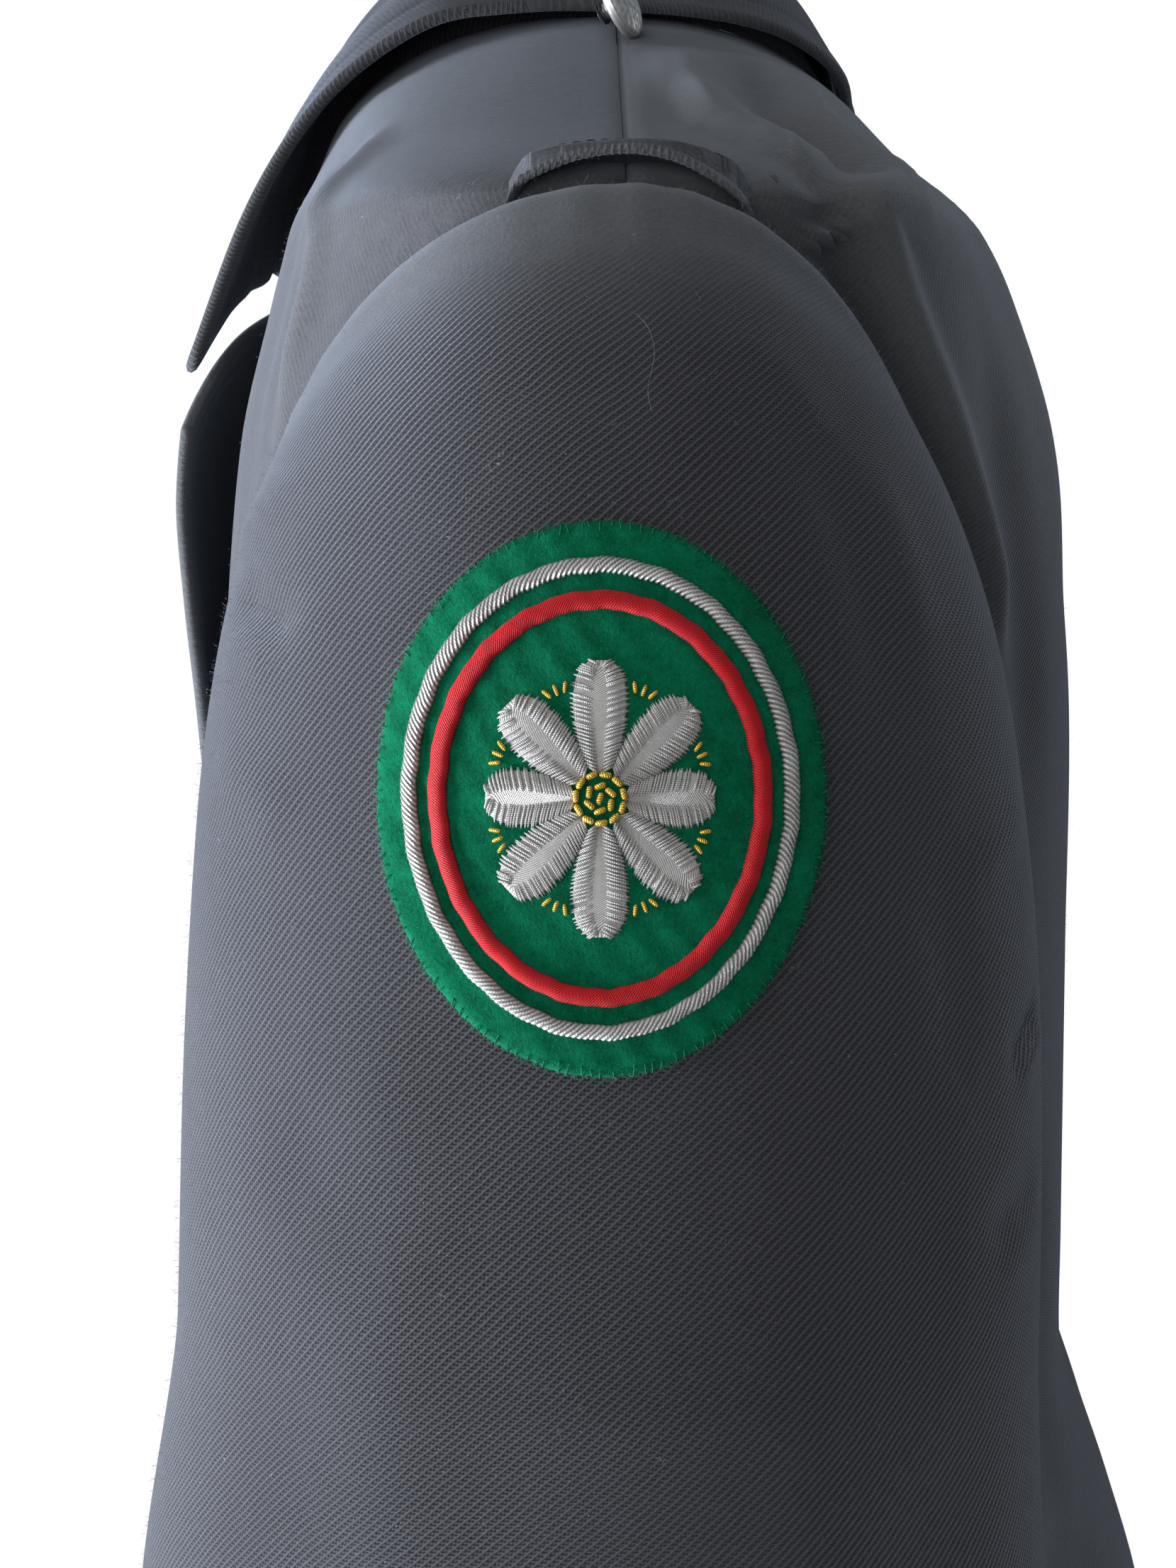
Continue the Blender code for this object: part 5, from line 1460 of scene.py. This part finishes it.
def felt_piece():
    cols = count(420)
    ang = np.linspace(0, 2 * np.pi, cols, endpoint=False)
    r = np.random.default_rng(91)
    ragged = np.zeros(cols)
    for k in (3, 5, 9, 17, 29, 47, 83, 120):
        ragged += np.sin(ang * k + r.uniform(0, 6.28)) * 0.0022 / k ** 0.35
    shares = np.concatenate([np.linspace(0.06, 0.93, 30), [0.955, 0.975, 0.99, 1.0]])
    lifts = np.concatenate([np.full(30, FELT_HIGH), [FELT_HIGH - 0.00005, FELT_HIGH - 0.0002, FELT_HIGH - 0.0005, FELT_HIGH - 0.0010]])
    rings, base_y, base_z = [], None, None
    for s, lift in zip(list(shares) + [1.0, 0.97, 0.5], list(lifts) + [FELT_LOW + 0.0003, FELT_LOW, FELT_LOW]):
        y, z = oval(s * (1 + ragged * max(0, (s - 0.8) / 0.2)), ang)
        wob = 0.00012 * np.sin(y * 900 + z * 700) + 0.0001 * np.sin(z * 1500 - y * 400)
        q, _ = MAP.at(y, z, lift + (wob if lift > 0.001 else 0))
        rings.append(q)
    pts = np.concatenate(rings)
    m = len(rings)
    faces = []
    for k in range(m - 1):
        for j in range(cols):
            l = (j + 1) % cols
            faces.append((k * cols + j, (k + 1) * cols + j, (k + 1) * cols + l, k * cols + l))
    c1, _ = MAP.at(np.array([PATCH_Y]), np.array([PATCH_Z]), np.array([FELT_HIGH]))
    c2, _ = MAP.at(np.array([PATCH_Y]), np.array([PATCH_Z]), np.array([FELT_LOW]))
    pts = np.concatenate([pts, c1, c2])
    top, bottom = m * cols, m * cols + 1
    for j in range(cols):
        l = (j + 1) % cols
        faces.append((top, j, l))
        faces.append((bottom, (m - 1) * cols + l, (m - 1) * cols + j))
    way = np.cross(pts[cols + 1] - pts[0], pts[1] - pts[0])
    ob = build("patch_felt_cloth", pts, faces if way[0] < 0 else [tuple(reversed(f)) for f in faces], [FELT], pts[:, 1:3])
    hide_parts("patch_felt")
    pieces["patch_felt"] = ob
    # small overcast stitches over the cut edge
    threads = []
    n = 132
    for k in range(n):
        a = 2 * np.pi * (k + r.uniform(-0.22, 0.22)) / n
        lean = r.uniform(-0.010, 0.010)
        edge = 1 + np.interp(a % (2 * np.pi), ang, ragged)
        s = np.linspace(-0.040, 0.010 + r.uniform(0, 0.006), 8) * r.uniform(0.5, 1.15)
        y, z = oval(edge + s, a + lean * 2.2 * (s + 0.040) / 0.05)
        lift = np.where(s < -0.004, FELT_HIGH + 0.00010 * np.sin(np.linspace(0, np.pi, 8)) - 0.0001, np.interp(s, [-0.004, 0.010], [FELT_HIGH - 0.0004, 0.0003]))
        q, nn = MAP.at(y, z, lift)
        threads.append(tube(q, 0.00011, 5, up=nn))
    ob = bundle("patch_edge_stitches", threads, [GREEN_THREAD])
    # fuzz of the cut edge and of the face
    m = int(3800 * MANY)
    a = r.uniform(0, 2 * np.pi, m)
    s = 1 + np.interp(a, ang, ragged) - r.uniform(0, 1, m) ** 2 * 0.03
    y, z = oval(s, a)
    q, nn = MAP.at(y, z, r.uniform(0.0006, FELT_HIGH, m))
    outward = unit(q - c1)
    ob = fluff("patch_fluff", q, unit(nn * 0.5 + outward * 0.8), 0.00085, FLUFF_GREEN, 92, 0.7, 0.00003)
    m = int(5200 * MANY)
    a, s = r.uniform(0, 2 * np.pi, m), np.sqrt(r.uniform(0, 1, m)) * 0.97
    y, z = oval(s, a)
    q, nn = MAP.at(y, z, np.full(m, FELT_HIGH))
    ob = fluff("patch_fluff_face", q, nn, 0.0006, FLUFF_GREEN, 93, 0.25, 0.000026)


def cord_piece(name, node, share, wide, low, high, strands, twist, ridge, look, cols, rows=15):
    """A couched cord: strands laid slanting over a flat core, in an oval ring."""
    cols = count(cols)
    ang = np.linspace(0, 2 * np.pi, cols, endpoint=False)
    y0, z0 = oval(np.full(cols, share - wide / 2 / 0.0395), ang)
    run = np.concatenate([[0], np.cumsum(np.hypot(np.diff(y0), np.diff(z0)))])
    total = run[-1] + math.hypot(y0[0] - y0[-1], z0[0] - z0[-1])
    grid, uvs = [], []
    for k in range(rows):
        f = k / (rows - 1)
        across, up = 0.5 - 0.5 * math.cos(math.pi * f), math.sin(math.pi * f) ** 0.72
        phase = run / total * strands + twist * across
        cut = np.abs(np.sin(np.pi * phase))
        lump = ridge * (cut ** 0.7 - 0.6) * up
        off = wide * (across - 0.5) + (0.5 - across) * ridge * (1 - cut) * 1.6
        y = PATCH_Y + (PATCH_HALF_W * share - wide / 2 - off) * np.sin(ang)
        z = PATCH_Z + (PATCH_HALF_H * share - wide / 2 - off) * np.cos(ang)
        wob = 0.00008 * np.sin(ang * 23) + 0.00006 * np.sin(ang * 41 + 1)
        q, _ = MAP.at(y + wob * np.sin(ang), z + wob * np.cos(ang), low + (high - low) * up + lump)
        grid.append(q)
        uvs.append(np.stack([run, np.full(cols, across * wide)], -1))
    pts = np.array(grid).reshape(-1, 3)
    faces = []
    for i in range(rows):
        j = (i + 1) % rows
        for k in range(cols):
            l = (k + 1) % cols
            faces.append((i * cols + k, i * cols + l, j * cols + l, j * cols + k))
    ob = build(name, pts, faces, [look], np.array(uvs).reshape(-1, 2))
    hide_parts(node)


def petal_half(width, g):
    """Half the width of a round-ended petal at share g of its length."""
    return width * math.sqrt(max(0.0, 1 - abs((g - 0.66) / (0.66 if g < 0.66 else 0.36)) ** (1.7 if g < 0.66 else 2.4)))


def petal_pad(cy, cz, angle, start, length, width, lift):
    """The padding under a petal's stitches, as a flat rounded body."""
    g = np.linspace(0.02, 0.995, 26)
    half = np.array([petal_half(width, v) for v in g]) * 0.93
    y, z = cy + math.sin(angle) * (start + length * g), cz + math.cos(angle) * (start + length * g)
    q, nn = MAP.at(y, z, np.full(len(g), lift + 0.0001))
    return tube(q, np.maximum(half, 0.0001), 14, up=nn, taper=False, flat=0.13)


def petal_threads(cy, cz, angle, start, length, width, lift, count_side, radius, r, tip=0.62):
    """Satin stitches of one petal, from its midrib out to its edge on both sides."""
    out = []
    dy, dz = math.sin(angle), math.cos(angle)
    sy, sz = math.cos(angle), -math.sin(angle)
    for hand in (-1, 1):
        for k in range(count_side):
            f = (k + 0.5) / count_side
            g = min(1.0, f * (1 + 0.02 * r.normal()))
            a0 = start + length * g * 0.95
            a1 = min(start + length * (g * 0.95 + 0.075), start + length * 0.995)
            half = petal_half(width, (a1 - start) / length) * (1 + 0.012 * r.normal())
            s = np.linspace(0, 1, 7)
            along = a0 + (a1 - a0) * s
            across = hand * (0.0001 + half * s)
            y, z = cy + dy * along + sy * across, cz + dz * along + sz * across
            high = lift + 0.00075 * np.sin(np.pi * np.clip(s * 0.92 + 0.06, 0, 1)) ** 0.8 - 0.0001
            q, nn = MAP.at(y, z, high)
            out.append(tube(q, radius, 5, up=nn, flat=0.85))
    return out


def leaf_of_gold(cy, cz, angle, r, base):
    """Three short purls fanned out between two petals."""
    out = []
    reach = 0.0165 + 0.0015 * abs(math.cos(angle))
    for j in (-1, 0, 1):
        b = angle + j * 0.085
        s = np.linspace(-1, 1, 12)
        y = cy + math.sin(b) * reach + s * 0.0009 * math.sin(angle + j * 0.5)
        z = cz + math.cos(b) * reach + s * 0.0009 * math.cos(angle + j * 0.5)
        q, nn = MAP.at(y, z, base + 0.0003 + 0.0002 * (1 - s * s))
        out.append(tube(q, 0.00036 * np.sqrt(np.clip(1 - (s * 0.95) ** 4, 0.05, 1)), 8, up=nn, taper=False))
    return out


def flower_piece():
    r = np.random.default_rng(101)
    cy, cz = PATCH_Y, PATCH_Z
    silver, gold = [], []
    base = FELT_HIGH + 0.00015
    for k in range(8):
        a = 2 * math.pi * k / 8
        size = 0.5 * (PATCH_HALF_W + (PATCH_HALF_H - PATCH_HALF_W) * abs(math.cos(a)))
        silver.append(petal_pad(cy, cz, a, 0.0036, size - 0.0038, 0.0046, base))
        silver += petal_threads(cy, cz, a, 0.0036, size - 0.0036, 0.0046, base, 30, 0.00024, r)
    for k in range(8):
        a = 2 * math.pi * (k + 0.5) / 8
        gold += leaf_of_gold(cy, cz, a, r, base)
    ob = bundle("patch_flower_threads", silver, [SILVER])
    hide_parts("patch_rosette")
    # gold purl beads in the middle
    spots = [(0.0, 0.0, 0.3)] + [(0.0019, 2 * math.pi * k / 6, 2 * math.pi * k / 6 + 1.2) for k in range(6)] + [(0.0037, 2 * math.pi * (k + 0.4) / 11, 2 * math.pi * (k + 0.4) / 11 + 1.5) for k in range(11)]
    for rad, a, turn in spots:
        y, z = cy + rad * math.sin(a), cz + rad * math.cos(a)
        s = np.linspace(-1, 1, 22)
        half = 0.00085
        q, nn = MAP.at(y + half * s * math.sin(turn), z + half * s * math.cos(turn), base + 0.0010 + 0.0003 * (1 - s * s))
        rad_line = 0.00052 * np.sqrt(np.clip(1 - (s * 0.96) ** 6, 0.05, 1)) * (1 + 0.10 * np.sin(s * 28))
        gold.append(tube(q, rad_line, 10, up=nn, taper=False))
    ob = bundle("patch_gold_beads", gold, [GOLD])
    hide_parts("patch_gold")


felt_piece()
cord_piece("patch_ring_silver", "patch_cord_outer", 0.865, 0.0026, FELT_HIGH + 0.0001, FELT_HIGH + 0.0015, 230, 3.0, 0.00026, SILVER_CORD, 2100, 12)
cord_piece("patch_ring_red", "patch_cord_inner", 0.745, 0.0030, FELT_HIGH + 0.0001, FELT_HIGH + 0.0014, 330, 4.4, 0.00010, RED, 1500, 11)
flower_piece()


# ---------------------------------------------------------------- loose fibres, lint and a hair
def scatter(points, normals, number, seed, keep=None):
    r = np.random.default_rng(seed)
    p, n = points.reshape(-1, 3), normals.reshape(-1, 3)
    if keep is not None:
        on = keep.reshape(-1)
        p, n = p[on], n[on]
    k = r.integers(0, len(p), number)
    return p[k] + r.normal(size=(number, 3)) * 0.0004, n[k]


outer, normal, psi, t = left_sleeve
shown = (outer[..., 2] > -0.33)
roots, ns = scatter(outer, normal, int(6500 * MANY), 111, shown)
eye = np.array([0.590, -0.007, -0.098])
fluff("cloth_fluff_sleeve", roots, ns, 0.00095, FLUFF, 112, 0.35)
away = np.abs(np.sum(unit(eye - outer) * normal, -1)) < 0.32
roots, ns = scatter(outer, normal, int(4200 * MANY), 113, shown & away)
fluff("cloth_fluff_edges", roots, ns, 0.0012, FLUFF, 114, 0.75)


def part_points(name):
    ob = pieces[name]
    m = ob.data
    co = np.zeros(len(m.vertices) * 3, np.float32)
    no = np.zeros(len(m.vertices) * 3, np.float32)
    m.vertices.foreach_get("co", co)
    m.vertices.foreach_get("normal", no)
    return co.reshape(-1, 3).astype(float), no.reshape(-1, 3).astype(float)


for k, (name, number, size) in enumerate((("front_left", 3000, 0.0009), ("back_left", 3800, 0.0010), ("collar", 1700, 0.0010), ("lapel_left", 800, 0.0009), ("loop_left", 900, 0.0005))):
    p, n = part_points(name)
    on = (p[:, 2] > -0.30) & (p[:, 0] > 0.02) & (np.sum(n * (eye - p), -1) > -0.02)
    roots, ns = scatter(p, n, int(number * MANY), 120 + k, on)
    fluff("cloth_fluff_" + name, roots, ns, size, FLUFF, 130 + k, 0.5)


def on_left(y, z, lift):
    q, n = on_patch(np.atleast_1d(y), np.atleast_1d(z), np.full(np.atleast_1d(y).shape, lift))
    return q, n


r = np.random.default_rng(150)
lint = []
for y, z in ((-0.0235, -0.1040), (0.0350, -0.1300), (-0.0215, -0.1020), (-0.0480, -0.0900), (0.0120, -0.0760), (0.0260, -0.1830), (-0.0300, -0.2350), (0.0050, -0.2600), (-0.0560, -0.1800)):
    for _ in range(3):
        m = 8
        s = np.cumsum(r.normal(size=(m, 2)) * 0.00022, 0) + r.normal(size=2) * 0.0004
        q, n = on_left(y + s[:, 0], z + s[:, 1], 0.0002)
        lint.append(tube(q + n * (0.0003 * r.uniform(0, 1, m))[:, None], 0.000022, 4))
# a loose hair above the patch
u = np.linspace(0, 1, 40)
hy = 0.0010 + 0.0040 * u + 0.0016 * np.sin(u * 5.2)
hz = -0.0790 - 0.0165 * u
q, n = on_left(hy, hz, 0.0003)
lint.append(tube(q + n * (0.0006 * np.sin(u * 9) ** 2)[:, None], 0.000024, 4))
bundle("lint_and_hair", lint, [LINT])


# ---------------------------------------------------------------- what each sheet of cloth was cut to: width, length, area in metres
CUT = {
    "front_left": (0.310, 0.760, 0.190), "front_right": (0.310, 0.760, 0.190),
    "back_left": (0.290, 0.770, 0.195), "back_right": (0.290, 0.770, 0.195),
    "upper_sleeve_left": (0.270, 0.650, 0.135), "upper_sleeve_right": (0.270, 0.650, 0.135),
    "under_sleeve_left": (0.190, 0.560, 0.080), "under_sleeve_right": (0.190, 0.560, 0.080),
    "lapel_left": (0.090, 0.230, 0.0125), "lapel_right": (0.090, 0.230, 0.0125),
    "collar": (0.110, 0.480, 0.034),
    "loop_left": (0.016, 0.070, 0.00105), "loop_right": (0.016, 0.070, 0.00105),
    "patch_felt": (0.072, 0.086, 0.00486),
}
RESTS = {
    "front_left": ["shoulder_rest"], "patch_felt": ["upper_sleeve_left"],
}


def outline_area(name):
    m = pieces[name].data
    return sum(f.area for f in m.polygons) / 2


for name, (w, l, area) in CUT.items():
    print("CUT", name, round(outline_area(name), 5), area, len(pieces[name].data.polygons) * 2)
for name, (w, l, area) in CUT.items():
    on = [pieces["upper_sleeve_left"]] if name == "patch_felt" else []


# ---------------------------------------------------------------- floor, light and camera
def stage_floor():
    m = Look("pale_floor", 0.9, specular=0.1)
    where = m.place()
    m.colour(m.mix(m.noise(where, 3, 2, 0.5), (0.86, 0.86, 0.86, 1), (0.90, 0.90, 0.90, 1)))
    mesh = bpy.data.meshes.new("floor")
    s, z, sides = 1.22, -1.35, 192
    turns = [2 * math.pi * k / sides for k in range(sides)]
    mesh.from_pydata([(s * math.cos(a), s * math.sin(a), z) for a in turns], [], [tuple(range(sides))])
    mesh.materials.append(m.mat)
    ob = bpy.data.objects.new("floor", mesh)
    bpy.context.scene.collection.objects.link(ob)


def area_light(name, place, aim, size, power, colour):
    data = bpy.data.lights.new(name, "AREA")
    data.shape = "DISK"
    data.size = size
    data.energy = power
    data.color = colour
    ob = bpy.data.objects.new(name, data)
    ob.location = place
    ob.rotation_euler = (Vector(aim) - Vector(place)).to_track_quat("-Z", "Y").to_euler()
    bpy.context.scene.collection.objects.link(ob)
    return ob


stage_floor()
area_light("key", (0.55, -1.90, -0.32), (0.24, -0.02, -0.26), 0.9, 42, (0.92, 0.95, 1.0))
area_light("low", (0.45, -1.45, -0.95), (0.24, -0.02, -0.36), 0.9, 80, (0.84, 0.90, 1.0))
area_light("rear", (-1.70, 2.30, 0.10), (0.0, 0.0, -0.30), 1.2, 8, (1.0, 1.0, 1.0))
area_light("fill", (2.20, -0.50, 0.10), (0.24, 0.0, -0.18), 1.6, 16, (1.0, 0.98, 0.97))
sun = bpy.data.lights.new("overhead", "SUN")
sun.energy = 0.98
sun.angle = math.radians(50)
ob = bpy.data.objects.new("overhead", sun)
ob.rotation_euler = Vector((-0.22, 0.34, -1.0)).to_track_quat("-Z", "Y").to_euler()
bpy.context.scene.collection.objects.link(ob)

world = bpy.data.worlds.new("studio")
bpy.context.scene.world = world
world.use_nodes = True
tree = world.node_tree
back = tree.nodes["Background"]
back.inputs[0].default_value = (0.80, 0.90, 1.0, 1)
back.inputs[1].default_value = 0.16
white = tree.nodes.new("ShaderNodeBackground")
white.inputs[0].default_value = (1, 1, 1, 1)
white.inputs[1].default_value = 1.0
path = tree.nodes.new("ShaderNodeLightPath")
pick = tree.nodes.new("ShaderNodeMixShader")
tree.links.new(path.outputs["Is Camera Ray"], pick.inputs[0])
tree.links.new(back.outputs[0], pick.inputs[1])
tree.links.new(white.outputs[0], pick.inputs[2])
tree.links.new(pick.outputs[0], tree.nodes["World Output"].inputs[0])

bpy.context.scene.view_settings.view_transform = "Standard"
bpy.context.scene.view_settings.look = "None"

cam = bpy.data.cameras.new("camera")
cam.sensor_fit = "VERTICAL"
cam.sensor_height = 24.0
cam.lens = 2700.0 / 2212.0 * 24.0
cam.clip_start = 0.01
cam.clip_end = 100.0
ob = bpy.data.objects.new("camera", cam)
pitch = math.radians(10.5)
F = Vector((-math.cos(pitch), 0, -math.sin(pitch)))
R = Vector((0, 1, 0))
U = R.cross(F)
ob.matrix_world = Matrix.Translation((0.590, -0.007, -0.098)) @ Matrix((R, U, -F)).transposed().to_4x4()
bpy.context.scene.collection.objects.link(ob)
bpy.context.scene.camera = ob
